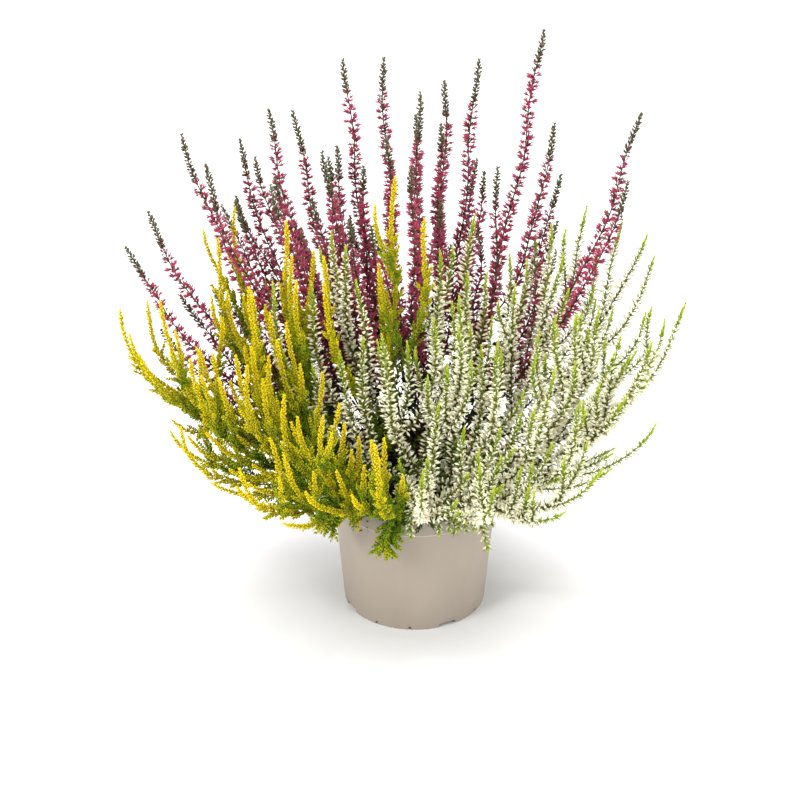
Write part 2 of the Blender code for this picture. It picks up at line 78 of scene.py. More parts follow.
# How the shoots are laid out, the same as in the model. A path has a point at every STEP, and a side shoot
# leaves it at a multiple of RING points. AIR and POT_AIR: the least air between sprays, and to the pot.
# NEAR: how close two sprays' points are when they are looked at. LOWEST_LEAN and HANGING_LEAN, in degrees:
# the most that a leading shoot's foot leans, and how far the end of one that hangs has turned over.
SEED = 11
STEP = 3.4 * MM
RING = 3
ROOT_SPACING = 7.0 * MM
ROOT_LIMIT = 40.0 * MM
AIR = 0.5 * MM
POT_AIR = 2.4 * MM
NEAR = 18.0 * MM
SPACING_ROUNDS = 200
LEADER_TRIES = 18
SIDE_TRIES = 24
LOWEST_LEAN = 76
HANGING_LEAN = 150
EASING_ROUNDS = 60
PAIRING_ROUNDS = 12
SMOOTHING_ROUNDS = 8
CUTTING_ROUNDS = 6

# Each heather, in millimetres and degrees. heart: the middle of its stems in the soil. spread: how far a
# level shoot's root moves out. curl: how much a shoot's lean changes. pull: how far its ends keep their
# lean, as a share of its size. core, reach and tip_reach: how far out its stem, flowers and tip stand in the
# model. tip: the leafy tip's length. bare: the share of stem with no flowers.
SPECIES = {
    "pink": {
        "heart": (2, 24), "spread": 26, "curl": 22, "pull": 0.36,
        "core": 1.15, "reach": 6.4, "tip_reach": 2.8, "tip": (30, 54), "bare": 0.28,
    },
    "yellow": {
        "heart": (-24, -12), "spread": 30, "curl": 50, "pull": 0.46,
        "core": 1.25, "reach": 5.0, "tip_reach": 3.4, "tip": (12, 18), "bare": 0.18,
    },
    "white": {
        "heart": (22, -14), "spread": 30, "curl": 34, "pull": 0.46,
        "core": 1.15, "reach": 6.4, "tip_reach": 2.8, "tip": (14, 26), "bare": 0.18,
    },
}

# The share of bare stem on a side shoot
SIDE_BARE = 0.15

# Where each spray's leading shoot ends: x, y and z in millimetres, and its number of side shoots.
# An end below the pot's rim hangs over it.
TIPS = {
    "pink": (
        (87, 85, 404, 1), (155, 60, 352, 1), (-49, 85, 382, 1), (-23, 100, 378, 1), (2, 72, 362, 1),
        (22, 112, 358, 1), (43, 92, 380, 1), (-103, 68, 352, 1), (-86, 104, 338, 1), (-163, 75, 330, 1),
        (-146, 42, 322, 1), (-188, 45, 286, 1), (-202, 25, 268, 1), (-126, 96, 318, 1), (-63, 48, 329, 1),
        (58, 66, 310, 1), (104, 100, 290, 1), (-164, 44, 222, 1), (18, 168, 236, 2), (-84, 152, 226, 2),
        (108, 144, 210, 2), (-150, 115, 190, 1),
    ),
    "yellow": (
        (-203, 0, 231, 2), (-188, 22, 228, 1), (-173, -14, 244, 1), (-139, 32, 270, 2), (-126, 50, 286, 1),
        (-90, 18, 290, 2), (-15, 8, 327, 1), (-112, -18, 256, 2), (-152, -38, 212, 2), (-114, -62, 220, 2),
        (-160, -62, 172, 2), (-118, -110, 168, 2), (-62, -98, 201, 2), (-28, -126, 194, 2),
        (-21, -78, 76, 0), (-66, -62, 88, 0),
    ),
    "white": (
        (187, 0, 236, 2), (168, -28, 238, 2), (146, 66, 270, 1), (165, -42, 165, 2), (121, 62, 282, 2),
        (94, 42, 276, 1), (66, 44, 254, 1), (40, 40, 285, 2), (16, 14, 270, 1), (-57, 22, 280, 1),
        (126, -22, 242, 1), (-100, 8, 248, 1), (31, -22, 252, 2), (56, -48, 232, 1), (92, -60, 218, 1),
        (-22, -34, 230, 2), (123, -100, 161, 2), (6, -122, 173, 1), (50, -130, 164, 2), (50, -87, 88, 0),
    ),
}

# More shoots than the model holds: how many go over to a near one, how many rise from a leaning one, and how
# far to the right they may end. FILL_ROOM and FILL_AIR: the least room to other shoots, and air to the pot.
# LONG_PATH and SHORT_PATH: the fewest points of a shoot that one may leave, and of its own.
FILL = {"pink": (20, 0, 50 * MM), "yellow": (24, 32, -12 * MM), "white": (26, 44, 1.0)}
FILL_TRIES = 50
FILL_NEIGHBOURS = 6
FILL_ROOM = 4.0 * MM
FILL_AIR = 4.0 * MM
FILL_SHARE = 0.9
LONG_PATH = 20
SHORT_PATH = 12

# Short sprigs over the pot's rim: how many leave each leading shoot, at which point of its path, and in
# millimetres how far past the rim they end, how high they bow over it and where they end beside it
COLLAR = {"pink": 1, "yellow": 2, "white": 3}
COLLAR_JOINT = 2
COLLAR_OUT = (6, 14)
COLLAR_BOW = (12, 20)
COLLAR_END = (-11, 8)
COLLAR_RISE = 24 * MM
COLLAR_AIR = 2 * MM

# The slight wave of all the shoots
SWAY = 1.5 * MM
SWAY_LENGTH = 95.0 * MM

# Stems and twigs. BURIED: how deep a stem goes on in the soil. UNEVEN: how far places stray from their rows.
DRESS_SEED = 29
STEM_FOOT = 1.1 * MM
STEM_TIP = 0.42 * MM
STEM_SIDES = 5
BURIED = 4.0 * MM
TWIG_RADIUS = 0.35 * MM
TWIG_BEND = 0.22
UNEVEN = 3.5 * MM

# Flowers: the least and the greatest length, and how far apart their rows stand
FLORET_LENGTH = (5.6 * MM, 6.5 * MM)
FLORET_ROWS = 4.4 * MM
BUD_LENGTH = (5.8 * MM, 6.6 * MM)
BUD_ROWS = 3.7 * MM

# Leaves: their length, and how far apart their rows stand
PINK_LEAF = 3.6 * MM
PINK_ROWS = 2.3 * MM
WHITE_LEAF = 3.1 * MM
WHITE_ROWS = 1.9 * MM
YELLOW_LEAF = 2.8 * MM
YELLOW_ROWS = 3.2 * MM
YELLOW_TIP_ROWS = 1.7 * MM
FOOT_LEAF = 5.0 * MM
FOOT_ROWS = 11.0 * MM
LEAF_WIDTH = 0.27
SMALL_LEAF = (0.8 * MM, 0.6 * MM)

# The finishes of a spray, in the order of its materials
BARK, LEAF, FLOWER = range(3)

# The floor's own white, and its painted light: how far from its middle its glow starts and is full, and the
# glow's strength
PAPER_WHITE = 0.7
GLOW_START = 0.06
GLOW_FULL = 0.22
GLOW = 0.6
FLOOR_HALF = 4.0
SKY = 0.6
LIGHTS_AIM = (0, 0, 0.18)


def colour(code):
    """A colour written as #rrggbb, as the linear values that a material takes."""
    shares = [int(code[k:k + 2], 16) / 255 for k in (1, 3, 5)]
    return tuple(s / 12.92 if s <= 0.04045 else ((s + 0.055) / 1.055) ** 2.4 for s in shares)


def unit(vectors):
    """Vectors of length one, along the last axis."""
    return vectors / np.maximum(np.linalg.norm(vectors, axis=-1, keepdims=True), 1e-12)


def distances(some, others):
    """The distance from each of some points to each of the others."""
    squares = (some**2).sum(axis=1)[:, None] + (others**2).sum(axis=1) - 2 * some @ others.T
    return np.sqrt(np.maximum(squares, 0))


def read_points(where, marks, points):
    """Points read at places between given ones, which stand at rising marks."""
    return np.stack([np.interp(where, marks, points[:, axis]) for axis in range(3)], axis=1)


def sideways(ahead):
    """Two directions that stand square to each direction ahead, and to each other."""
    across = unit(np.cross(ahead, [0.31, 0.95, 0.02]))
    return across, np.cross(ahead, across)


def around(across, over, turn):
    """The directions at some angles in the plane of two others: across times cosine plus over times sine."""
    return across * np.cos(turn)[..., None] + over * np.sin(turn)[..., None]


def wall_radius(z):
    """The pot's outer radius, under the rim band, at a height."""
    return FOOT_RADIUS + (WALL_TOP_RADIUS - FOOT_RADIUS) * z / BAND_FOOT


def soil_height(x, y):
    """The soil's top: a low mound with a few lumps."""
    mound = SOIL_CROWN * (1 - (x**2 + y**2) / SOIL_RADIUS**2)
    return SOIL_EDGE + mound + SOIL_LUMPS * np.sin(x / (9 * MM)) * np.sin(y / (11 * MM) + 1)


def air_to_pot(points):
    """How far points are from the soil, the pot's rim and its outer wall."""
    out = np.linalg.norm(points[:, :2], axis=1)
    up = points[:, 2]
    over_rim = np.hypot(out - TOP_RADIUS + WALL, np.maximum(up - POT_HEIGHT, 0)) - WALL
    over_soil = np.minimum(up - soil_height(points[:, 0], points[:, 1]),
                           np.where(up < POT_HEIGHT, SOIL_RADIUS - out, over_rim))
    outside = np.where(up < POT_HEIGHT, out - TOP_RADIUS, over_rim)
    return np.where(out < SOIL_RADIUS, over_soil, outside)


def root_places():
    """Where each leading shoot leaves the soil.

    It is its plant's heart, moved out the way the shoot leans, and then all are pushed to a least spacing.
    """
    places = []
    for name, kind in SPECIES.items():
        heart = np.array(kind["heart"]) * MM
        for tip in TIPS[name]:
            away = np.array(tip[:2]) * MM - heart
            lean = math.atan2(np.linalg.norm(away), max(tip[2] * MM - SOIL_EDGE, 0))
            places.append(heart + unit(away) * kind["spread"] * MM * math.sin(lean))
    places = np.array(places)
    for _ in range(SPACING_ROUNDS):
        apart = places[:, None] - places[None]
        room = np.linalg.norm(apart, axis=2)
        push = np.clip(ROOT_SPACING - room, 0, None)
        np.fill_diagonal(push, 0)
        np.fill_diagonal(room, 1)
        places = places + 0.3 * (apart / room[..., None] * push[..., None]).sum(axis=1)
        out = np.linalg.norm(places, axis=1, keepdims=True)
        places = places * np.minimum(1, ROOT_LIMIT / np.maximum(out, MM))
    return places


def length_marks(path):
    """The distance along a path at each of its points."""
    return np.concatenate([[0], np.cumsum(np.linalg.norm(np.diff(path, axis=0), axis=1))])


def even_steps(fine, every=1):
    """A finely drawn path, read at even steps of its length. The number of steps is a multiple of every."""
    run = length_marks(fine)
    even = np.linspace(0, run[-1], every * round(run[-1] / STEP / every) + 1)
    return read_points(even, run, fine)


def cubic(start, start_pull, end_pull, end):
    """A cubic curve from start to end, finely drawn.

    With s = 1 - t it is s³ start + 3 s² t start_pull + 3 s t² end_pull + t³ end, for t from 0 to 1.
    """
    t = np.linspace(0, 1, 120)[:, None]
    s = 1 - t
    return s**3 * start + 3 * s**2 * t * start_pull + 3 * s * t**2 * end_pull + t**3 * end


def curve(start, start_pull, end_pull, end):
    """A cubic curve from start to end, read at even steps of its length."""
    return even_steps(cubic(start, start_pull, end_pull, end), RING)


def reach_along(path, kind, tip_length, bare):
    """How far a shoot's flowers or leaves stand out along it."""
    run = np.arange(len(path)) * STEP
    total = run[-1]
    core = kind["core"] * MM
    reach = kind["reach"] * MM
    end = kind["tip_reach"] * MM
    marks = [0, bare, bare + 12 * MM, total - tip_length - 10 * MM, total - tip_length, total]
    return np.interp(run, np.maximum.accumulate(marks), [core, core, reach, 0.85 * reach, end, 0.8 * end])


def least_air(path, reach, shoots, first):
    """The least air between a new shoot, from its point first on, and the pot and the shoots there are."""
    least = (air_to_pot(path[3:]) - POT_AIR).min()
    if shoots:
        points = np.concatenate([shoot["path"][::2] for shoot in shoots])
        reaches = np.concatenate([shoot["reach"][::2] for shoot in shoots])
        least = min(least, (distances(path[first:], points) - reach[first:, None] - reaches).min())
    return least


def toward(flat, lean):
    """The direction that leans from upright by an angle, towards a level direction."""
    return flat * math.sin(lean) + np.array([0, 0, math.cos(lean)])


def hangs(shoot):
    """Whether a shoot ends lower than the pot's rim."""
    return shoot["path"][-1, 2] < POT_HEIGHT


def grow_leader(name, spray, tip, place, shoots, rng):
    """A leading shoot: it starts out leaning, and curls up towards its tip.

    Of some tries the one with most air stays.
    """
    kind = SPECIES[name]
    end = np.array(tip[:3]) * MM
    root = np.array([place[0], place[1], soil_height(place[0], place[1]) + MM])
    chord = end - root
    size = np.linalg.norm(chord)
    flat = unit(np.array([chord[0], chord[1], 0.0]))
    aside = np.array([-flat[1], flat[0], 0.0])
    lean = math.acos(chord[2] / size)
    curl = math.radians(kind["curl"]) * min(1.5 * lean, 1)
    last_lean = max(lean - curl, 0) if end[2] > POT_HEIGHT else math.radians(HANGING_LEAN)
    tip_length = rng.uniform(*kind["tip"]) * MM
    pull = kind["pull"] * size
    best = None
    for attempt in range(LEADER_TRIES):
        bow = rng.uniform(-1, 1) * 0.12 * size * attempt / (LEADER_TRIES - 1)
        first_lean = min(lean + curl, math.radians(LOWEST_LEAN - 1.5 * attempt))
        path = curve(root, root + pull * toward(flat, first_lean) + aside * bow,
                     end - pull * toward(flat, last_lean) + aside * bow / 2, end)
        reach = reach_along(path, kind, tip_length, kind["bare"] * len(path) * STEP)
        air = least_air(path, reach, shoots, 2)
        if best is None or air > best["air"]:
            best = {"name": name, "spray": spray, "path": path, "reach": reach, "air": air, "joint": None,
                    "tip_length": tip_length}
        if air > MM:
            break
    return best


def grow_side(leader, turn, shoots, rng):
    """A side shoot: it leaves its leader low down and ends beside the leader's upper part, no lower."""
    kind = SPECIES[leader["name"]]
    path = leader["path"]
    ahead = unit(np.gradient(path, axis=0))
    farthest = np.linalg.norm(path[-1, :2])
    best = None
    for _ in range(SIDE_TRIES):
        joint = RING * int(len(path) * rng.uniform(0.22, 0.48) / RING)
        beside = int(len(path) * rng.uniform(0.68, 0.9))
        angle = turn + rng.uniform(-1.2, 1.2)
        across = unit(np.cross(ahead[beside], [0.3, 0.1, 1.0]))
        out = across * math.cos(angle) + np.cross(ahead[beside], across) * math.sin(angle)
        out[2] = abs(out[2])
        end = path[beside] + out * rng.uniform(15, 27) * MM
        span = np.linalg.norm(end - path[joint])
        new = curve(path[joint], path[joint] + 0.35 * span * unit(ahead[joint] + 0.8 * out),
                    end - 0.35 * span * unit(ahead[beside] + 0.1 * out), end)
        tip_length = 0.7 * rng.uniform(*kind["tip"]) * MM
        reach = reach_along(new, kind, tip_length, SIDE_BARE * len(new) * STEP)
        air = least_air(new, reach, shoots, 9) - max(np.linalg.norm(end[:2]) - farthest, 0)
        if best is None or air > best["air"]:
            best = {"name": leader["name"], "spray": leader["spray"], "path": new, "reach": reach,
                    "air": air, "joint": joint, "leader": leader, "tip_length": tip_length}
        if air > MM:
            break
    return best


def close_pairs(points, spray):
    """Pairs of points of different sprays that are near each other."""
    found = []
    for low in range(0, len(points), 400):
        block = slice(low, low + 400)
        one, other = np.nonzero((distances(points[block], points) < NEAR) & (spray[block, None] != spray))
        found.append((one + low, other))
    return (np.concatenate(indices) for indices in zip(*found))


def push_apart(points, reach, one, other):
    """How far each point moves away from the points of other sprays that stand in its room."""
    apart = points[one] - points[other]
    gap = np.linalg.norm(apart, axis=1)
    short = np.clip(reach[one] + reach[other] + 2 * AIR - gap, 0, None)
    push = apart * (0.25 * short / np.maximum(gap, 1e-9))[:, None]
    crowd = np.maximum(np.bincount(one[short > 0], minlength=len(points)), 1) ** 0.5
    move = np.stack([np.bincount(one, push[:, axis], len(points)) for axis in range(3)], axis=1)
    return move / crowd[:, None]


def push_off_pot(points, loose):
    """How far each loose point moves away from the pot: out beside its wall, or else up."""
    lack = np.where(loose > 0.3, np.clip(POT_AIR - air_to_pot(points), 0, 3 * MM), 0)
    beside = (np.linalg.norm(points[:, :2], axis=1) > TOP_RADIUS - WALL / 2) & (points[:, 2] < POT_HEIGHT)
    out = unit(points[:, :2]) * np.where(beside, lack, 0)[:, None]
    return np.column_stack([out, np.where(beside, 0, lack)])


def cut_reach(points, reach, spray):
    """How far out each point's flowers or leaves may stand, clear of other sprays and of the pot."""
    one, other = close_pairs(points, spray)
    gap = np.linalg.norm(points[one] - points[other], axis=1)
    for _ in range(CUTTING_ROUNDS):
        share = (gap - AIR) * reach[one] / (reach[one] + reach[other])
        fits = reach.copy()
        np.minimum.at(fits, one, share)
        reach = fits
    return np.minimum(reach, air_to_pot(points) - 0.4 * MM)


def ease_apart(shoots):
    """Crowded shoots of different sprays bend away from each other, and then their reach is cut to fit.

    A shoot's foot stays where it is, and its points are looser the farther they are from it. Each round's
    moves are smoothed along the shoots, and each side shoot follows its leader.
    """
    points = np.concatenate([shoot["path"] for shoot in shoots])
    reach = np.concatenate([shoot["reach"] for shoot in shoots])
    spray = np.concatenate([np.full(len(shoot["path"]), shoot["spray"]) for shoot in shoots])
    sizes = [len(shoot["path"]) for shoot in shoots]
    starts = np.cumsum([0] + sizes)
    for shoot, start in zip(shoots, starts):
        shoot["start"] = start
    before = np.maximum(np.arange(len(points)) - 1, np.repeat(starts[:-1], sizes))
    after = np.minimum(np.arange(len(points)) + 1, np.repeat(starts[1:] - 1, sizes))
    loose = np.concatenate([np.arange(len(shoot["path"])) / (10 if shoot["joint"] is None else 4)
                            for shoot in shoots]).clip(0, 1)
    for turn in range(EASING_ROUNDS):
        if turn % PAIRING_ROUNDS == 0:
            one, other = close_pairs(points, spray)
        move = push_apart(points, reach, one, other) + push_off_pot(points, loose)
        for _ in range(SMOOTHING_ROUNDS):
            move = (move[before] + 2 * move + move[after]) / 4
        points = points + move * loose[:, None]
        for shoot, size in zip(shoots, sizes):
            if shoot["joint"] is not None:
                own = slice(shoot["start"], shoot["start"] + size)
                points[own] += points[shoot["leader"]["start"] + shoot["joint"]] - points[shoot["start"]]
    reach = cut_reach(points, reach, spray)
    for shoot, size in zip(shoots, sizes):
        own = slice(shoot["start"], shoot["start"] + size)
        shoot["path"] = points[own]
        shoot["reach"] = reach[own]


def grow_plants():
    """All the shoots of the three heathers, each with its path and its reach."""
    rng = np.random.default_rng(SEED)
    places = root_places()
    leaders = []
    for name in SPECIES:
        for tip in TIPS[name]:
            spray = len(leaders)
            leaders.append(grow_leader(name, spray, tip, places[spray], leaders, rng))
    shoots = list(leaders)
    tips = [tip for name in SPECIES for tip in TIPS[name]]
    for leader, tip in zip(leaders, tips):
        turn = rng.uniform(0, 2 * math.pi)
        for nth in range(tip[3]):
            shoots.append(grow_side(leader, turn + math.pi * nth, shoots, rng))
    ease_apart(shoots)
    return shoots


def points_at(path, share):
    """The points of a path at shares of its steps."""
    return read_points(share * (len(path) - 1), np.arange(len(path)), path)


def crossing_path(one, other, rng):
    """A path that leaves one path low down, and goes over to a mix of it and another.

    At the share t of its length it has gone 1 - (1 - t)**2.5 of the way over.
    """
    t = np.linspace(0, 1, 80)
    joint = int(len(one) * rng.uniform(0.05, 0.25))
    low = joint / (len(one) - 1)
    share = low + (rng.uniform(0.62, 1.0) - low) * t
    gone_over = rng.uniform(0.25, 0.75) * (1 - (1 - t[:, None]) ** 2.5)
    here = points_at(one, share)
    return joint, even_steps(here + gone_over * (points_at(other, share) - here))


def rising_path(one, rng):
    """A path that leaves another in its middle, and rises more steeply than it."""
    joint = int(len(one) * rng.uniform(0.22, 0.66))
    start = one[joint]
    ahead = unit(one[joint + 1] - one[joint - 1])
    size = (len(one) - joint) * STEP * rng.uniform(0.55, 0.95)
    level = rng.normal(0, 0.16, 3) * [1, 1, 0]
    end = start + size * unit(0.4 * ahead + [0, 0, 0.8] + level)
    last = unit(0.3 * ahead + [0, 0, 1.0])
    return joint, even_steps(cubic(start, start + 0.4 * size * ahead, end - 0.35 * size * last, end))


def upper_part(path):
    """A path without its lowest third."""
    return path[len(path) // 3:]


def try_to_fill(own, nearest, goes_over, rng):
    """A try at one more shoot: the shoot that it leaves, at which point, and its path."""
    pick = rng.integers(len(own))
    path = own[pick]["path"]
    if goes_over:
        other = own[nearest[pick, rng.integers(1, FILL_NEIGHBOURS + 1)]]["path"]
        return own[pick], *crossing_path(path, other, rng)
    return own[pick], *rising_path(path, rng)


def fill_gaps(shoots, rng):
    """More shoots than the model holds, in the gaps between its own.

    Of some tries at each, the one that stays farthest from all the upper parts so far is kept.
    """
    taken = np.concatenate([upper_part(shoot["path"]) for shoot in shoots])
    more = []
    for name, kind in SPECIES.items():
        crossing, rising, right = FILL[name]
        own = [shoot for shoot in shoots
               if shoot["name"] == name and len(shoot["path"]) > LONG_PATH and not hangs(shoot)]
        tops = np.array([shoot["path"][int(0.8 * len(shoot["path"]))] for shoot in own])
        tips = np.array([shoot["path"][-1] for shoot in own])
        nearest = np.argsort(distances(tops, tops), axis=1)
        for number in range(crossing + rising):
            best = None
            best_room = FILL_ROOM
            for _ in range(FILL_TRIES):
                leader, joint, path = try_to_fill(own, nearest, number < crossing, rng)
                near = np.argsort(np.linalg.norm(tips[:, :2] - path[-1, :2], axis=1))[:3]
                low = path[-1, 2] < tips[near, 2].max()
                if path[-1, 0] >= right or not low or len(path) < SHORT_PATH:
                    continue
                room = distances(path[len(path) // 2::2], taken).min()
                if room > best_room and air_to_pot(path[4:]).min() >= FILL_AIR:
                    best_room = room
                    best = {"name": name, "spray": leader["spray"], "path": path, "joint": joint,
                            "reach": np.full(len(path), FILL_SHARE * kind["reach"] * MM)}
            if best:
                best["tip_length"] = 0.6 * rng.uniform(*kind["tip"]) * MM
                more.append(best)
                taken = np.concatenate([taken, upper_part(best["path"])])
    return shoots + more


def add_collar(shoots, rng):
    """Short sprigs round the pot's rim, which leave the feet of the leading shoots and bow over the soil."""
    more = []
    for shoot in shoots:
        if shoot["joint"] is not None or hangs(shoot):
            continue
        start = shoot["path"][COLLAR_JOINT]
        for _ in range(COLLAR[shoot["name"]]):
            turn = math.atan2(start[1], start[0]) + rng.normal(0, 0.4)
            out = np.array([math.cos(turn), math.sin(turn), 0])
            end = out * (TOP_RADIUS + rng.uniform(*COLLAR_OUT) * MM)
            over_rim = 0.96 * end + [0, 0, POT_HEIGHT + rng.uniform(*COLLAR_BOW) * MM]
            end[2] = POT_HEIGHT + rng.uniform(*COLLAR_END) * MM
            rise = min(0.6 * np.linalg.norm(end - start), COLLAR_RISE)
            path = even_steps(cubic(start, start + rise * toward(out, 0.4), over_rim, end))
            if air_to_pot(path[3:]).min() > COLLAR_AIR and end[0] < FILL[shoot["name"]][2]:
                more.append({"name": shoot["name"], "spray": shoot["spray"], "path": path,
                             "joint": COLLAR_JOINT, "reach": np.full(len(path), 5 * MM),
                             "tip_length": 6 * MM})
    return shoots + more


def sway(shoots):
    """Gives the shoots a slight natural wave over the pot.

    Each point moves level by SWAY times a sine of its height, which starts at another height on each spray.
    """
    for shoot in shoots:
        height = shoot["path"][:, 2]
        rise = np.clip((height - POT_HEIGHT) / (60 * MM), 0, 1)
        turn = 2 * math.pi * height / SWAY_LENGTH + 2.4 * shoot["spray"]
        wave = np.stack([np.sin(turn), np.cos(1.3 * turn), 0 * turn], axis=1)
        shoot["path"] = shoot["path"] + SWAY * rise[:, None] * wave


def skin(rings, first, last):
    """The closed triangle surface over rings of points, from the pole first to the pole last.

    rings is an array of rings by points by three. Round each ring the points run anticlockwise, seen from
    the last pole. The map's first coordinate goes round the rings, and its second along them.
    """
    count, sides = rings.shape[:2]
    points = np.concatenate([[first], rings.reshape(-1, 3), [last]])
    ring, side = np.indices((count - 1, sides)).reshape(2, -1)
    a = 1 + ring * sides + side
    b = 1 + ring * sides + (side + 1) % sides
    start = 1 + np.arange(sides)
    end = start + (count - 1) * sides
    pole = np.zeros(sides, int)
    faces = np.concatenate([
        np.stack([pole, np.roll(start, -1), start], axis=1),
        np.stack([a, b, b + sides], axis=1),
        np.stack([a, b + sides, a + sides], axis=1),
        np.stack([end, np.roll(end, -1), pole + len(points) - 1], axis=1),
    ])
    low = (side / sides, (ring + 1) / (count + 1))
    across = 1 / sides
    up = 1 / (count + 1)
    rim = np.arange(sides) / sides
    one = np.ones(sides)
    spots = np.concatenate([
        np.stack([rim + across / 2, 0 * one, rim + across, up * one, rim, up * one], axis=1),
        np.stack([low[0], low[1], low[0] + across, low[1], low[0] + across, low[1] + up], axis=1),
        np.stack([low[0], low[1], low[0] + across, low[1] + up, low[0], low[1] + up], axis=1),
        np.stack([rim, 1 - up * one, rim + across, 1 - up * one, rim + across / 2, one], axis=1),
    ]).reshape(-1, 3, 2)
    return points, faces, spots


def pod(sides, rings, lobes=0.0, bend=0.0):
    """A pod one long, on +Z: each of its rings has a height and a radius.

    A ring's radius swells and dips by the share lobes at every other point, and the pod leans over to +Y by
    bend times its height squared.
    """
    heights, radii = np.array(rings, float).T
    turn = np.arange(sides) * 2 * math.pi / sides
    radius = radii[:, None] * (1 + lobes * (-1.0) ** np.arange(sides))
    level = np.repeat(heights[:, None], sides, 1)
    points = np.stack([radius * np.cos(turn), radius * np.sin(turn), level], axis=-1)
    points[..., 1] += bend * points[..., 2] ** 2
    return skin(points, (0, 0, 0), (0, bend, 1))


def star():
    """A floret one long, on +Z: a bell whose edge splits into four pointed sepals, with a dip in its middle.

    Round its edge, four points at height 1.0 and radius 0.5 take turns with four at 0.5 and 0.2.
    """
    turn = np.arange(8) * math.pi / 4
    tips = np.arange(8) % 2 == 0
    radius = np.where(tips, 0.5, 0.2)
    edge = np.stack([radius * np.cos(turn), radius * np.sin(turn), np.where(tips, 1.0, 0.5)], axis=1)
    return skin(edge[None], (0, 0, 0), (0, 0, 0.34))


def scale_leaf():
    """A scale leaf one long, on +Z: three even corners round its foot, the first its keel, and a point."""
    turn = math.pi / 2 + np.arange(3) * 2 * math.pi / 3
    foot = np.stack([np.cos(turn), np.sin(turn), 0 * turn], axis=1)
    faces = np.array([(0, 2, 1), (0, 1, 3), (1, 2, 3), (2, 0, 3)])
    spots = np.array([[(0, 0), (1, 0), (0.5, 0)]] + 3 * [[(0, 0), (1, 0), (0.5, 1)]], float)
    return np.concatenate([foot, [(0, -0.1, 1)]]), faces, spots


BUD = pod(4, [(0.16, 0.62), (0.6, 1.0)], bend=-0.08)
SEPALS = star()
SCALE = scale_leaf()
BLUNT = pod(3, [(0.55, 1.0)], bend=-0.1)
ROD = pod(3, [(0.01, 1.0), (0.6, 0.8)], bend=TWIG_BEND)
CRUMB = pod(5, [(0.2, 0.8), (0.7, 1.0)], lobes=0.25)


def make_part(shape, finish, tone, sun):
    """A shape as a part of a mesh: with a finish, and with a tone and a sun for its points."""
    points, faces, spots = shape
    each = np.ones(len(points))
    return {"points": points, "faces": faces, "spots": spots.reshape(-1, 2), "tone": tone * each,
            "sun": sun * each, "finish": finish}


def copies(shape, finish, origin, along, back, length, width, depth, tone, sun):
    """Copies of a shape: its +Z along one direction, its +Y as near as it can be to the direction back."""
    points, faces, spots = shape
    size = len(points)
    number = len(origin)
    along = unit(along)
    across = unit(np.cross(back, along))
    back = np.cross(along, across)
    ones = np.ones(number)
    scaled = points[None] * np.stack([width * ones, depth * ones, length * ones], axis=1)[:, None]
    placed = (origin[:, None] + scaled[..., :1] * across[:, None] + scaled[..., 1:2] * back[:, None]
              + scaled[..., 2:] * along[:, None])
    faces = (faces[None] + size * np.arange(number)[:, None, None]).reshape(-1, 3)
    spots = np.tile(spots.reshape(-1, 2), (number, 1))
    return make_part((placed.reshape(-1, 3), faces, spots), finish, np.repeat(tone * ones, size),
                     np.repeat(sun * ones, size))


def read_along(shoot, run):
    """The place, direction and two directions across a shoot, and its reach, at distances along it."""
    path = shoot["path"]
    marks = length_marks(path)
    ahead = unit(read_points(run, marks, unit(np.gradient(path, axis=0))))
    return read_points(run, marks, path), ahead, *sideways(ahead), np.interp(run, marks, shoot["reach"])


def whorls(shoot, rows, count, rng, loose=0.15):
    """Places round a shoot: count of them in each row, each row turned half a gap on from the last.

    rows gives each row's distance along the shoot, and loose says how uneven the places are.
    """
    number = np.arange(len(rows))[:, None]
    turn = (np.arange(count) + number / 2) * 2 * math.pi / count
    turn = (turn + rng.normal(0, loose, turn.shape)).ravel()
    run = (rows[:, None] + rng.normal(0, loose * UNEVEN, (len(rows), count))).ravel()
    place, ahead, across, over, reach = read_along(shoot, run)
    return run, place, ahead, around(across, over, turn), reach


def lean_out(ahead, out, degrees):
    """Directions that lean from ahead towards out."""
    return around(ahead, out, np.radians(degrees))


def stem_radius(share):
    """A stem's radius: from foot to tip it thins with (1 - share)**1.6, so quickly at first."""
    return STEM_TIP + (STEM_FOOT - STEM_TIP) * (1 - share) ** 1.6


def stem(shoot):
    """A shoot's stem: rings of points round every second point of its path, closed at both ends."""
    path = np.concatenate([shoot["path"][:-1:2], shoot["path"][-1:]])
    total = length_marks(shoot["path"])[-1]
    run = length_marks(path)
    share = run / run[-1]
    if shoot["joint"] is None:
        path = np.concatenate([path[:1] - [[0, 0, BURIED]], path])
        share = np.concatenate([[0], share])
    ahead = unit(np.gradient(path, axis=0))
    across, over = sideways(ahead)
    turn = np.arange(STEM_SIDES) * 2 * math.pi / STEM_SIDES
    radius = stem_radius(share if shoot["joint"] is None else 0.4 + 0.6 * share)
    rings = path[:, None] + radius[:, None, None] * around(across[:, None], over[:, None], turn)
    points, faces, spots = skin(rings, path[0], path[-1] + ahead[-1] * STEM_TIP)
    along = np.concatenate([[0], np.repeat(share, STEM_SIDES), [1]])
    return make_part((points, faces, spots * [1, total / (10 * MM)]), BARK, 0.5, along)


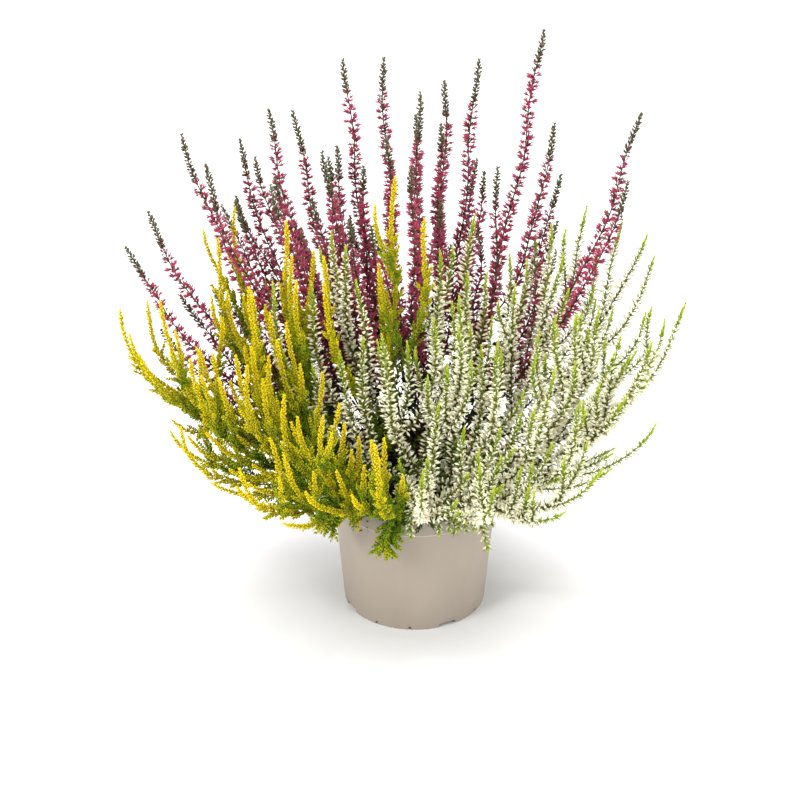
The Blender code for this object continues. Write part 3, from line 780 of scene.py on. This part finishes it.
def leaves(shoot, rows, size, degrees, sun, rng, shape=SCALE, width=LEAF_WIDTH):
    """Scale leaves that sit close round a shoot, in rows, and lean out from it. They close over its tip."""
    run, place, ahead, out, _ = whorls(shoot, rows, 4, rng, 0.1)
    number = len(run)
    last = length_marks(shoot["path"])[-1]
    near_tip = np.clip((last - run) / (9 * MM), 0, 1)
    length = size * rng.uniform(0.85, 1.15, number) * (0.62 + 0.38 * near_tip)
    along = lean_out(ahead, out, degrees * (0.45 + 0.55 * near_tip) + rng.normal(0, 6, number))
    shade = np.interp(run, [rows[0], last], sun)
    return copies(shape, LEAF, place + out * STEM_TIP * 0.6, along, out, length, width * length,
                  0.75 * width * length, rng.uniform(0, 1, number), shade)


def twigs(origin, along, back, length, levels, leaf, sun, rng, shape=SCALE, width=LEAF_WIDTH, count=4):
    """Short leafy twigs. At the share f of its length, a twig has bent towards back by TWIG_BEND times f².

    Each is a rod copied as deep as it is long, so that its bend grows with it, and then thinned again.
    Its leaves stand round it in levels of count, and one closes its tip.
    """
    number = len(origin)
    along = unit(along)
    across = unit(np.cross(back, along))
    back = np.cross(along, across)
    tone = rng.uniform(0, 1, number)
    rod = copies(ROD, BARK, origin, along, back, length, TWIG_RADIUS, length, tone, 0.2 + 0.6 * sun)
    unbent = ROD[0][:, 1] - TWIG_BEND * ROD[0][:, 2] ** 2
    too_deep = (unbent * (length - TWIG_RADIUS)[:, None])[..., None] * back[:, None]
    rod["points"] -= too_deep.reshape(-1, 3)
    level = np.arange(levels * count + 1) // count
    share = (level + 0.6) / (levels + 0.4)
    turn = (np.arange(levels * count + 1) + level / 2) * 2 * math.pi / count
    turn = turn + rng.uniform(0, math.pi, (number, 1))
    ahead = unit(along[:, None] + 2 * TWIG_BEND * share[:, None] * back[:, None])
    place = origin[:, None] + length[:, None, None] * (
        along[:, None] * share[:, None] + TWIG_BEND * share[:, None] ** 2 * back[:, None])
    over = unit(np.cross(ahead, across[:, None]))
    out = around(across[:, None], over, turn)
    angle = np.radians(38 + rng.normal(0, 6, turn.shape))
    angle[:, -1] = 0.1
    direction = around(ahead, out, angle)
    size = leaf * rng.uniform(0.85, 1.15, turn.shape) * np.interp(share, [0, 0.7, 1], [1, 1, 0.8])
    flat = (number * len(share), 3)
    shade = np.clip(sun[:, None] * (0.72 + 0.34 * share), 0, 1)
    size = size.ravel()
    scales = copies(shape, LEAF, place.reshape(flat), direction.reshape(flat), out.reshape(flat), size,
                    width * size, 0.75 * width * size, rng.uniform(0, 1, flat[0]), shade.ravel())
    return [rod, scales]


def upward(ahead, out):
    """The direction that a twig bends to: up, and along its shoot."""
    return unit(ahead + np.array([0, 0, 0.7]) - 0.2 * out)


def bare_share(shoot):
    """The share of a shoot's stem that has no flowers."""
    return SPECIES[shoot["name"]]["bare"] if shoot["joint"] is None else SIDE_BARE


def dress_pink(shoot, rng):
    """A pink shoot: rows of starry florets on a dark stem, smaller towards its dark, knobbly, leafy tip."""
    total = length_marks(shoot["path"])[-1]
    tip = total - 0.55 * shoot["tip_length"]
    rows = np.arange(total * bare_share(shoot), tip, FLORET_ROWS)
    run, place, ahead, out, reach = whorls(shoot, rows, 5, rng, 0.4)
    number = len(run)
    young = np.clip((tip - run) / (18 * MM), 0, 1)
    size = np.clip(reach, *FLORET_LENGTH) * (0.55 + 0.45 * young) * rng.uniform(0.82, 1.15, number)
    along = lean_out(ahead, out, 35 + 26 * young + rng.normal(0, 15, number))
    spread = size * rng.uniform(0.7, 1.1, number) * (0.6 + 0.4 * young)
    parts = [copies(SEPALS, FLOWER, place + out * 0.8 * MM, along, ahead, size, spread, 0.8 * spread,
                    rng.uniform(0, 1, number), young)]
    some = rng.uniform(0, 1, number) < 0.5
    parts.append(copies(SCALE, LEAF, place[some], lean_out(ahead, out, 48)[some], out[some], PINK_LEAF,
                        *SMALL_LEAF, rng.uniform(0, 1, some.sum()), 0.3))
    rows = np.arange(tip - 6 * MM, total, PINK_ROWS)
    parts.append(leaves(shoot, rows, PINK_LEAF, 50, (0.5, 1.0), rng, BLUNT, 0.32))
    return parts


def dress_white(shoot, rng):
    """A white shoot: rows of closed buds with small leaves between, and a fresh tip unless it hangs.

    Its bare foot is half as long as in the model.
    """
    total = length_marks(shoot["path"])[-1]
    tip = total - (2 * MM if hangs(shoot) else 0.7 * shoot["tip_length"])
    rows = np.arange(0.5 * total * bare_share(shoot), tip, BUD_ROWS)
    run, place, ahead, out, reach = whorls(shoot, rows, 4, rng, 0.22)
    number = len(run)
    young = np.clip((tip - run) / (30 * MM), 0, 1)
    size = np.clip(reach, *BUD_LENGTH) * (0.5 + 0.46 * young) * rng.uniform(0.86, 1.1, number)
    along = lean_out(ahead, out, 70 - 26 * (1 - young) + rng.normal(0, 12, number))
    half = size * rng.uniform(0.15, 0.19, number)
    parts = [copies(BUD, FLOWER, place + out * 0.9 * MM, along, ahead, size, half, half,
                    rng.uniform(0, 1, number), young)]
    between = unit(out + np.cross(ahead, out))
    parts.append(copies(SCALE, LEAF, place + ahead * MM, lean_out(ahead, between, 50), between,
                        rng.uniform(3.6, 5.4, number) * MM, *SMALL_LEAF, rng.uniform(0, 1, number),
                        0.05 + 0.6 * (run / total)))
    parts.append(leaves(shoot, np.arange(tip - 3 * MM, total, WHITE_ROWS), WHITE_LEAF, 36, (0.75, 1.0), rng))
    return parts


def dress_yellow(shoot, rng):
    """A yellow shoot: blunt scale leaves all along it, short side twigs on its lower part, and a slim tip.

    A leading shoot that hangs gets less sun, so it is greener and darker: painted shade, partly the real
    green of shaded shoots. It has twigs all along it.
    """
    total = length_marks(shoot["path"])[-1]
    droops = shoot["joint"] is None and hangs(shoot)
    spike = total - (6 * MM if droops else min(44 * MM, 0.42 * total))
    # A hanging shoot's low sun values paint it darker, as in shade
    sun = (0.15, 0.5) if droops else (0.15, 0.95)
    rows = np.concatenate([np.arange(0.06 * total, spike, YELLOW_ROWS),
                           np.arange(spike, total, YELLOW_TIP_ROWS)])
    parts = [leaves(shoot, rows, YELLOW_LEAF, 42, sun, rng, BLUNT, 0.34)]
    rows = np.arange(0.14 * total, spike, (3.8 if droops else 5.6) * MM)
    run, place, ahead, out, _ = whorls(shoot, rows, 5 if droops else 2, rng, 0.3)
    number = len(run)
    length = rng.uniform(6.5, 11, number) * MM * (1.4 if droops else 1)
    leaf = (3.4 if droops else 2.7) * MM
    shade = np.interp(run, [0, total], sun) + rng.uniform(-0.1, 0.12, number)
    lean = (64 if droops else 38) + rng.normal(0, 8, number)
    parts += twigs(place, lean_out(ahead, out, lean), upward(ahead, out), length, 5, leaf,
                   np.clip(shade, 0, 1), rng, BLUNT, 0.36, 3)
    return parts


def dress_foot(shoot, rng):
    """Leafy twigs on the bare foot of a leading shoot, which fill the plant's inside. Their leaves are
    painted dark, as shade.
    """
    total = length_marks(shoot["path"])[-1]
    rows = np.arange(6 * MM, total * (bare_share(shoot) + 0.1), FOOT_ROWS)
    run, place, ahead, out, _ = whorls(shoot, rows, 2, rng, 0.4)
    number = len(run)
    length = rng.uniform(12, 20, number) * MM
    # Low sun values: the inner leaves are painted dark, as shade inside the plant
    shade = rng.uniform(0.05, 0.4, number)
    return twigs(place, lean_out(ahead, out, 58 + rng.normal(0, 8, number)), upward(ahead, out), length, 3,
                 FOOT_LEAF, shade, rng)


def make_mesh(name, parts, finishes):
    """One mesh of all the parts, with a map, and each part's tone and sun as attributes."""
    sizes = [len(part["points"]) for part in parts]
    starts = np.cumsum([0] + sizes)
    mesh = bpy.data.meshes.new(name)
    points = np.concatenate([part["points"] for part in parts])
    faces = np.concatenate([part["faces"] + start for part, start in zip(parts, starts)])
    mesh.from_pydata(points, [], faces)
    for finish in finishes:
        mesh.materials.append(finish)
    zones = np.concatenate([np.full(len(part["faces"]), part["finish"]) for part in parts])
    mesh.polygons.foreach_set("material_index", zones.astype(np.int32))
    spots = np.concatenate([part["spots"] for part in parts])
    mesh.uv_layers.new(name="UVMap").data.foreach_set("uv", spots.astype(np.float32).ravel())
    for key in ("tone", "sun"):
        values = np.concatenate([part[key] for part in parts]).astype(np.float32)
        mesh.attributes.new(key, "FLOAT", "POINT").data.foreach_set("value", values)
    mesh.shade_smooth()
    return mesh


def new_object(name, data):
    """An object in the scene."""
    made = bpy.data.objects.new(name, data)
    bpy.context.scene.collection.objects.link(made)
    return made


def make_piece(name, mesh, slot, *nodes):
    """A piece that rides on the pot's body and stands for nodes of the model."""
    piece = new_object(name, mesh)
    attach(piece, "root")
    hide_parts(*nodes)
    return piece


def arc(centre, radius, start, end, count):
    """Points on an arc, in degrees, as radius and height."""
    turn = np.radians(np.linspace(start, end, count))
    return np.stack([centre[0] + radius * np.cos(turn), centre[1] + radius * np.sin(turn)], axis=1)


def notch_height(turn):
    """How high the foot ring is cut away at an angle.

    A notch's height falls from its middle with (1 - share**power)**(1 / power): an ellipse where power is 2.
    """
    height = np.zeros_like(turn)
    for angle, half, high, power in NOTCHES:
        middle = math.radians(angle - 90)
        away = (turn - middle + math.pi / 4) % (math.pi / 2) - math.pi / 4
        share = np.clip(np.abs(away) * FOOT_RADIUS / half, 0, 1)
        height = np.maximum(height, high * (1 - share**power) ** (1 / power))
    return height


def pot_columns():
    """The angles of the pot's grid: even ones, and close ones at each notch."""
    turns = [np.arange(0, 2 * math.pi, 2 * math.pi / 96)]
    for angle, half, _, power in NOTCHES:
        share = np.array([-1, -0.9, -0.5, 0, 0.5, 0.9, 1])
        if power > 2:
            share = np.array([-1, -0.99, -0.95, -0.6, 0, 0.6, 0.95, 0.99, 1])
        middle = np.radians(angle - 90 + 90 * np.arange(4))[:, None]
        turns.append(((middle + share * half / FOOT_RADIUS) % (2 * math.pi)).ravel())
    return np.unique(np.round(np.concatenate(turns), 5))


def make_pot(finish):
    """The pot: its profile turned round, from under its middle, up the outside and down the inside.

    The foot ring's lowest part is squeezed up to the edge of its notches: a height z below FOOT_ZONE becomes
    z + notch * (1 - z / FOOT_ZONE).
    """
    slope = (WALL_TOP_RADIUS - FOOT_RADIUS) / BAND_FOOT
    foot = 0.3 * MM
    inner = FOOT_RADIUS - WALL
    rise = np.array([0.5, 1.2, 2.0, 2.8]) * MM
    outside = np.array([0.8, 1.6, 2.6, 3.8, 5.0, 15, 30, 50, 70, 80]) * MM
    band = np.array([0.9, 0.5, 0.1]) * MM
    inside = [(WALL_TOP_RADIUS - WALL, BAND_FOOT), (wall_radius(40 * MM) - WALL, 40 * MM),
              (wall_radius(CHANNEL_HEIGHT + FLOOR) - WALL, CHANNEL_HEIGHT + FLOOR),
              (CHANNEL_RADIUS - FLOOR, CHANNEL_HEIGHT + FLOOR), (MIDDLE_RADIUS - FLOOR, FLOOR)]
    profile = np.concatenate([
        [(MIDDLE_RADIUS - 2 * MM, 0), (MIDDLE_RADIUS, 0), (CHANNEL_RADIUS, CHANNEL_HEIGHT),
         (inner - 2 * MM, CHANNEL_HEIGHT), (inner, CHANNEL_HEIGHT)],
        np.stack([inner + 0 * rise, rise[::-1]], axis=1),
        arc((inner + foot, foot), foot, 180, 270, 4),
        arc((FOOT_RADIUS - foot, foot), foot, 270, 360, 4),
        np.stack([FOOT_RADIUS + slope * outside, outside], axis=1),
        np.stack([WALL_TOP_RADIUS - 0.15 * MM + 0 * band, BAND_FOOT - band], axis=1),
        [(WALL_TOP_RADIUS + 0.3 * BAND_STEP, BAND_FOOT + 0.02 * MM)],
        arc((WALL_TOP_RADIUS + 0.6 * BAND_STEP, BAND_FOOT + 0.45 * MM), 0.4 * BAND_STEP, -80, 0, 4),
        [(TOP_RADIUS - 0.35 * MM, POT_HEIGHT - 3 * MM)],
        arc((TOP_RADIUS - WALL / 2, POT_HEIGHT - WALL / 2), WALL / 2, 0, 180, 9),
        inside,
    ])
    turn = pot_columns()
    radius, height = profile[:, :1], profile[:, 1:]
    on_foot = (radius > inner - 0.1 * MM) & (height < FOOT_ZONE) & (radius < wall_radius(FOOT_ZONE))
    zone = np.where(radius < inner + 0.05 * MM, CHANNEL_HEIGHT, FOOT_ZONE)
    squeeze = np.where(on_foot, np.clip(1 - height / zone, 0, 1), 0)
    squeeze[-len(inside):] = 0
    height = height + squeeze * notch_height(turn)
    rings = np.stack([radius * np.cos(turn), radius * np.sin(turn), height], axis=-1)
    wall = make_part(skin(rings, (0, 0, 0), (0, 0, FLOOR)), 0, 0, 0)
    mesh = make_mesh("pot_wall", [wall], [finish])
    mesh.set_sharp_from_angle(angle=math.radians(40))
    pot = make_piece("pot_wall", mesh, "pot_plastic", "pot")
    drill(pot)
    return pot


def drill(pot):
    """Cuts the drain holes through the raised channel of the pot's floor."""
    middle = (CHANNEL_RADIUS + FOOT_RADIUS - WALL) / 2
    turn = 2 * math.pi * (np.arange(DRAIN_HOLES) + 0.5) / DRAIN_HOLES
    origin = np.stack([middle * np.cos(turn), middle * np.sin(turn), np.full(DRAIN_HOLES, 0.5 * MM)], axis=1)
    plug = pod(24, [(0.001, 1.0), (0.999, 1.0)])
    up = np.tile([0.0, 0.0, 1.0], (DRAIN_HOLES, 1))
    side = np.tile([1.0, 0.0, 0.0], (DRAIN_HOLES, 1))
    holes = copies(plug, 0, origin, up, side, 8 * MM, DRAIN_RADIUS, DRAIN_RADIUS, 0, 0)
    cutter = new_object("drain holes", make_mesh("drain holes", [holes], pot.data.materials))
    cut = pot.modifiers.new("drain holes", "BOOLEAN")
    cut.operation = "DIFFERENCE"
    cut.object = cutter
    shape = bpy.data.meshes.new_from_object(pot.evaluated_get(bpy.context.evaluated_depsgraph_get()))
    pot.modifiers.clear()
    pot.data = shape
    bpy.data.objects.remove(cutter)


def ripple(x, y, wave):
    """A ripple in the soil, by height: a sine across it, finer and lower the higher its wave number."""
    across = x * math.cos(3 * wave) + y * math.sin(3 * wave)
    return 0.9 * MM / wave * np.sin(wave * across / (4 * MM) + wave)


def make_soil(finish, rng):
    """The soil: a turned plug whose top is a mound with ripples, with crumbs on it."""
    foot = CHANNEL_HEIGHT + FLOOR + FIT
    ring = np.linspace(SOIL_RADIUS, 1.5 * MM, 26)
    side = [(MIDDLE_RADIUS - FLOOR, FLOOR + FIT), (CHANNEL_RADIUS - FLOOR, foot),
            (wall_radius(foot) - WALL - FIT, foot), (SOIL_RADIUS, SOIL_EDGE - 3 * MM)]
    profile = np.concatenate([side, np.stack([ring, 0 * ring], axis=1)])
    turn = np.linspace(0, 2 * math.pi, 96, endpoint=False)
    x = profile[:, :1] * np.cos(turn)
    y = profile[:, :1] * np.sin(turn)
    rough = sum(ripple(x, y, wave) for wave in (1, 1.7, 2.6, 3.9, 5.3))
    top = np.arange(len(profile))[:, None] >= len(side)
    z = np.where(top, soil_height(x, y) + rough, profile[:, 1:])
    plug = skin(np.stack([x, y, z], axis=-1), (0, 0, FLOOR + FIT), (0, 0, soil_height(0, 0)))
    parts = [make_part(plug, 0, 0.4, 0)]
    out = (SOIL_RADIUS - 3 * MM) * np.sqrt(rng.uniform(0, 1, CRUMBS))
    turn = rng.uniform(0, 2 * math.pi, CRUMBS)
    x = out * np.cos(turn)
    y = out * np.sin(turn)
    size = rng.uniform(1.2, 3.6, CRUMBS) * MM
    origin = np.stack([x, y, soil_height(x, y) - 0.3 * size], axis=1)
    parts.append(copies(CRUMB, 0, origin, rng.normal(0, 1, (CRUMBS, 3)), rng.normal(0, 1, (CRUMBS, 3)), size,
                        size * rng.uniform(0.3, 0.5, CRUMBS), size * rng.uniform(0.3, 0.5, CRUMBS),
                        rng.uniform(0, 1, CRUMBS), 0))
    make_piece("soil_bed", make_mesh("soil_bed", parts, [finish]), "potting_soil", "soil")


class Finish:
    """A material with short calls to add and join its nodes."""

    def __init__(self, name, roughness, **settings):
        """A surface with a roughness, and with values for its sockets, whose spaces are written as _."""
        self.material = bpy.data.materials.new(name)
        self.material.use_nodes = True
        self.tree = self.material.node_tree
        self.surface = self.tree.nodes["Principled BSDF"]
        self.surface.inputs["Roughness"].default_value = roughness
        for socket, value in settings.items():
            self.surface.inputs[socket.replace("_", " ")].default_value = value

    def add(self, kind, inputs=(), **settings):
        """A node of a kind. inputs gives what its sockets, by name or place, hold: a value or a socket."""
        node = self.tree.nodes.new("ShaderNode" + kind)
        for key, value in settings.items():
            setattr(node, key, value)
        for key, value in dict(inputs).items():
            if isinstance(value, bpy.types.NodeSocket):
                self.tree.links.new(value, node.inputs[key])
            else:
                node.inputs[key].default_value = value
        return node

    def attribute(self, name):
        """A value that the mesh holds."""
        return self.add("Attribute", attribute_name=name).outputs["Fac"]

    def noise(self, scale, detail=3.0, stretch=(1, 1, 1)):
        """Noise in the object's own coordinates. scale is how many of its grains a metre holds."""
        where = self.add("Mapping", {"Vector": self.add("TexCoord").outputs["Object"], "Scale": stretch})
        grain = self.add("TexNoise", {"Vector": where.outputs["Vector"], "Scale": scale, "Detail": detail})
        return grain.outputs["Fac"]

    def ramp(self, share, stops):
        """Colours at stops along a share."""
        node = self.add("ValToRGB", {"Fac": share})
        elements = node.color_ramp.elements
        while len(elements) < len(stops):
            elements.new(0.5)
        for element, (place, code) in zip(elements, stops):
            element.position = place
            element.color = (*colour(code), 1)
        return node.outputs["Color"]

    def mix(self, share, one, other, blend="MIX"):
        """Two colours, mixed by a share."""
        return self.add("Mix", {0: share, 6: one, 7: other}, data_type="RGBA", blend_type=blend).outputs[2]

    def tint(self, share, base, code):
        """A colour, mixed by a share with a plain one."""
        return self.mix(share, base, (*colour(code), 1))

    def maths(self, operation, one, other=0.0, third=0.0):
        """A sum, a product or the like."""
        return self.add("Math", {0: one, 1: other, 2: third}, operation=operation).outputs[0]

    def read(self, system, axis):
        """One axis of the object's own coordinates or of its map."""
        where = self.add("TexCoord").outputs[system]
        return self.add("SeparateXYZ", {"Vector": where}).outputs[axis]

    def spread(self, share, low, high, start=0.0, full=1.0):
        """A share, from start to full, spread from low to high."""
        inputs = {"Value": share, "From Min": start, "From Max": full, "To Min": low, "To Max": high}
        return self.add("MapRange", inputs).outputs["Result"]

    def shade(self, base, share, low, high):
        """A colour, times a grey that runs from low to high with a share."""
        grey = self.spread(share, low, high)
        grey = self.add("CombineColor", {key: grey for key in ("Red", "Green", "Blue")}).outputs["Color"]
        return self.mix(1.0, base, grey, "MULTIPLY")

    def join(self, socket, value):
        """Joins a value to one of the surface's sockets."""
        self.tree.links.new(value, self.surface.inputs[socket])

    def bump(self, height, strength, distance):
        """Raises the surface by a height."""
        node = self.add("Bump", {"Height": height, "Strength": strength, "Distance": distance})
        self.join("Normal", node.outputs["Normal"])


def leaf_finish(name, stops):
    """Scale leaves: their colour runs with their sun value, and varies from leaf to leaf. The dark end is
    painted shade on leaves low down and inside the plant, partly the real green of shaded shoots.
    """
    finish = Finish(name, 0.6, Specular_IOR_Level=0.2)
    tone = finish.spread(finish.attribute("tone"), -0.1, 0.1)
    # A low sun value picks the dark end of the ramp: painted shade
    base = finish.ramp(finish.maths("ADD", finish.attribute("sun"), tone), stops)
    base = finish.shade(base, finish.read("UV", "Y"), 0.72, 1.12)
    finish.join("Base Color", finish.shade(base, finish.noise(420), 0.8, 1.2))
    finish.bump(finish.noise(2600, 2), 0.25, 0.15 * MM)
    return finish.material


def bark_finish(name, stops):
    """Stems: woody at the foot and fresh at the tip, with fine streaks along them."""
    finish = Finish(name, 0.72, Specular_IOR_Level=0.3)
    streaks = finish.noise(900, 4, (1, 1, 0.16))
    share = finish.maths("ADD", finish.attribute("sun"), finish.spread(streaks, -0.12, 0.12))
    finish.join("Base Color", finish.shade(finish.ramp(share, stops), streaks, 0.6, 1.35))
    finish.bump(streaks, 0.5, 0.3 * MM)
    return finish.material


def petal_finish(name, foot, stops, fade):
    """Flowers: their colour runs from foot to tip, with fine veins, and the oldest have faded."""
    finish = Finish(name, 0.55, Specular_IOR_Level=0.3, Sheen_Weight=0.15)
    tone = finish.attribute("tone")
    base = finish.ramp(finish.read("UV", "Y"), stops)
    base = finish.tint(finish.spread(finish.attribute("sun"), foot[1], 0), base, foot[0])
    old = finish.ramp(tone, [(0, "#000000"), (0.955, "#000000"), (0.975, "#ffffff")])
    base = finish.shade(finish.tint(old, base, fade), tone, 0.82, 1.1)
    veins = finish.maths("SINE", finish.maths("MULTIPLY", finish.read("UV", "X"), 75.0))
    finish.join("Base Color", finish.shade(base, veins, 0.95, 1.03))
    finish.bump(finish.maths("ADD", finish.noise(1800, 2), finish.maths("MULTIPLY", veins, 0.3)), 0.3,
                0.15 * MM)
    return finish.material


def plastic_finish():
    """Matt moulded plastic, very faintly mottled, with a fine grain.

    The rim band is a little darker, and the edge at its foot is lighter: a painted highlight along the
    band's lip.
    """
    finish = Finish("greige plastic", 0.5, Specular_IOR_Level=0.4)
    grain = finish.noise(9000, 2)
    cloud = finish.noise(28, 4, (1, 1, 0.4))
    base = finish.shade(finish.ramp(cloud, [(0.3, "#958a7d"), (0.7, "#9d9285")]), grain, 0.96, 1.04)
    height = finish.read("Object", "Z")
    band = finish.maths("GREATER_THAN", height, BAND_FOOT)
    base = finish.tint(finish.maths("MULTIPLY", band, 0.35), base, "#8a8178")
    # Painted highlight: a thin lighter line just above the band's foot, where light catches its lip
    edge = finish.maths("COMPARE", height, BAND_FOOT + 0.3 * MM, 0.45 * MM)
    finish.join("Base Color", finish.tint(finish.maths("MULTIPLY", edge, 0.6), base, "#cfc8bc"))
    finish.join("Roughness", finish.spread(cloud, 0.46, 0.58))
    finish.bump(grain, 0.12, 0.05 * MM)
    return finish.material


def soil_finish():
    """Dark peat, with lighter fibres and crumbs."""
    finish = Finish("peat", 0.95, Specular_IOR_Level=0.2)
    grain = finish.noise(700, 5)
    fibres = finish.ramp(finish.noise(1500, 3, (1, 0.2, 0.6)), [(0.64, "#000000"), (0.7, "#ffffff")])
    base = finish.ramp(grain, [(0.3, "#1c130c"), (0.55, "#38281b"), (0.75, "#5c4630")])
    base = finish.tint(fibres, base, "#86694a")
    finish.join("Base Color", finish.shade(base, finish.attribute("tone"), 0.7, 1.3))
    finish.bump(grain, 0.8, 1.0 * MM)
    return finish.material


def paper_finish():
    """White paper with painted light: it glows away from the pot, which leaves a painted soft shadow round
    the pot's foot.
    """
    finish = Finish("white paper", 0.9, Base_Color=(PAPER_WHITE,) * 3 + (1,), Emission_Color=(1, 1, 1, 1))
    away = finish.add("VectorMath", {0: finish.add("TexCoord").outputs["Object"]}, operation="LENGTH")
    # Painted light: the glow grows with distance from the pot, so the floor near it stays darker as a
    # painted shadow
    finish.join("Emission Strength", finish.spread(away.outputs["Value"], 0.0, GLOW, GLOW_START, GLOW_FULL))
    return finish.material


def spray_finishes():
    """The finishes of each heather: its bark, its leaves, whose colours run from painted shade to the fresh
    tips, and its flowers if it has any.
    """
    return {
        "pink": [
            bark_finish("pink heather bark", [(0, "#4a2e22"), (0.6, "#6a2c2c"), (1, "#5c4c38")]),
            leaf_finish("pink heather leaves",
                        [(0, "#26401a"), (0.3, "#3e4e26"), (0.7, "#5c5a40"), (1, "#706a50")]),
            petal_finish("crimson sepals", ("#541420", 0.35),
                         [(0, "#541024"), (0.35, "#9c1c40"), (0.5, "#c84c70"), (0.65, "#b02850"),
                          (1, "#841834")], "#7c4838"),
        ],
        "yellow": [
            bark_finish("yellow heather bark", [(0, "#6a5424"), (0.5, "#a0842a"), (1, "#c8b42c")]),
            leaf_finish("yellow heather leaves",
                        [(0, "#34600c"), (0.3, "#6e8e0c"), (0.6, "#beb608"), (1, "#f6da00")]),
        ],
        "white": [
            bark_finish("white heather bark", [(0, "#4c3c24"), (0.5, "#8c843c"), (1, "#acb840")]),
            leaf_finish("white heather leaves",
                        [(0, "#222c0a"), (0.35, "#506a14"), (0.7, "#98ac28"), (1, "#c8d83c")]),
            petal_finish("cream buds", ("#ccd68c", 0.45),
                         [(0, "#bcc66c"), (0.25, "#f4f0c8"), (0.8, "#fffce0"), (1, "#faf4c8")], "#b49a74"),
        ],
    }


def make_sprays(rng):
    """One piece for each spray of the model."""
    finishes = spray_finishes()
    dress = {"pink": dress_pink, "yellow": dress_yellow, "white": dress_white}
    shoots = add_collar(fill_gaps(grow_plants(), rng), rng)
    sway(shoots)
    for name in SPECIES:
        own = [shoot for shoot in shoots if shoot["joint"] is None and shoot["name"] == name]
        for number, leader in enumerate(own, 1):
            parts = dress_foot(leader, rng)
            for shoot in shoots:
                if shoot["spray"] == leader["spray"]:
                    parts.append(stem(shoot))
                    parts += dress[name](shoot, rng)
            title = f"{name}_heather_{number:02d}"
            mesh = make_mesh(title, parts, finishes[name])
            make_piece(title, mesh, f"{name}_heather", f"{name}_spray_{number:02d}")


def make_stage():
    """A white floor whose glow away from the pot is painted light, and soft lights."""
    mesh = bpy.data.meshes.new("floor")
    corners = [(x * FLOOR_HALF, y * FLOOR_HALF, 0) for x, y in ((-1, -1), (1, -1), (1, 1), (-1, 1))]
    mesh.from_pydata(corners, [], [(0, 1, 2, 3)])
    mesh.materials.append(paper_finish())
    floor = new_object("floor", mesh)
    for name, place, size, watts in (
        ("key light", (-1.35, -1.05, 1.2), 0.8, 30),
        ("fill light", (1.2, -1.1, 0.9), 1.2, 17),
        ("top light", (0.05, 0.35, 1.8), 0.7, 24),
    ):
        lamp = bpy.data.lights.new(name, "AREA")
        lamp.size = size
        lamp.energy = watts
        light = new_object(name, lamp)
        light.location = place
        light.rotation_euler = (Vector(LIGHTS_AIM) - Vector(place)).to_track_quat("-Z", "Y").to_euler()
    world = bpy.data.worlds.new("studio")
    world.use_nodes = True
    sky = world.node_tree.nodes["Background"].inputs
    sky["Color"].default_value = (1, 1, 1, 1)
    sky["Strength"].default_value = SKY
    bpy.context.scene.world = world
    bpy.context.scene.view_settings.view_transform = "Standard"


def make_camera():
    """The camera, at the photograph's angle."""
    optics = bpy.data.cameras.new("camera")
    optics.lens = LENS
    optics.sensor_width = FILM
    camera = new_object("camera", optics)
    back = Vector((0, -math.cos(ELEVATION), math.sin(ELEVATION)))
    camera.location = Vector(AIM) + DISTANCE * back
    camera.rotation_euler = (-back).to_track_quat("-Z", "Y").to_euler()
    bpy.context.scene.camera = camera


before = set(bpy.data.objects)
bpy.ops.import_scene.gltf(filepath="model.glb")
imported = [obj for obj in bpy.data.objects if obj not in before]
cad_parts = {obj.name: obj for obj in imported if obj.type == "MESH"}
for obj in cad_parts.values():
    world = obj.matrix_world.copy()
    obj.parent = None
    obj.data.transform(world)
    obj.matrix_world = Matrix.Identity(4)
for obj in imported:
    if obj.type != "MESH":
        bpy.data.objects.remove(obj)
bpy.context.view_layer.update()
make_camera()
make_stage()
dice = np.random.default_rng(DRESS_SEED)
make_pot(plastic_finish())
make_soil(soil_finish(), dice)
make_sprays(dice)
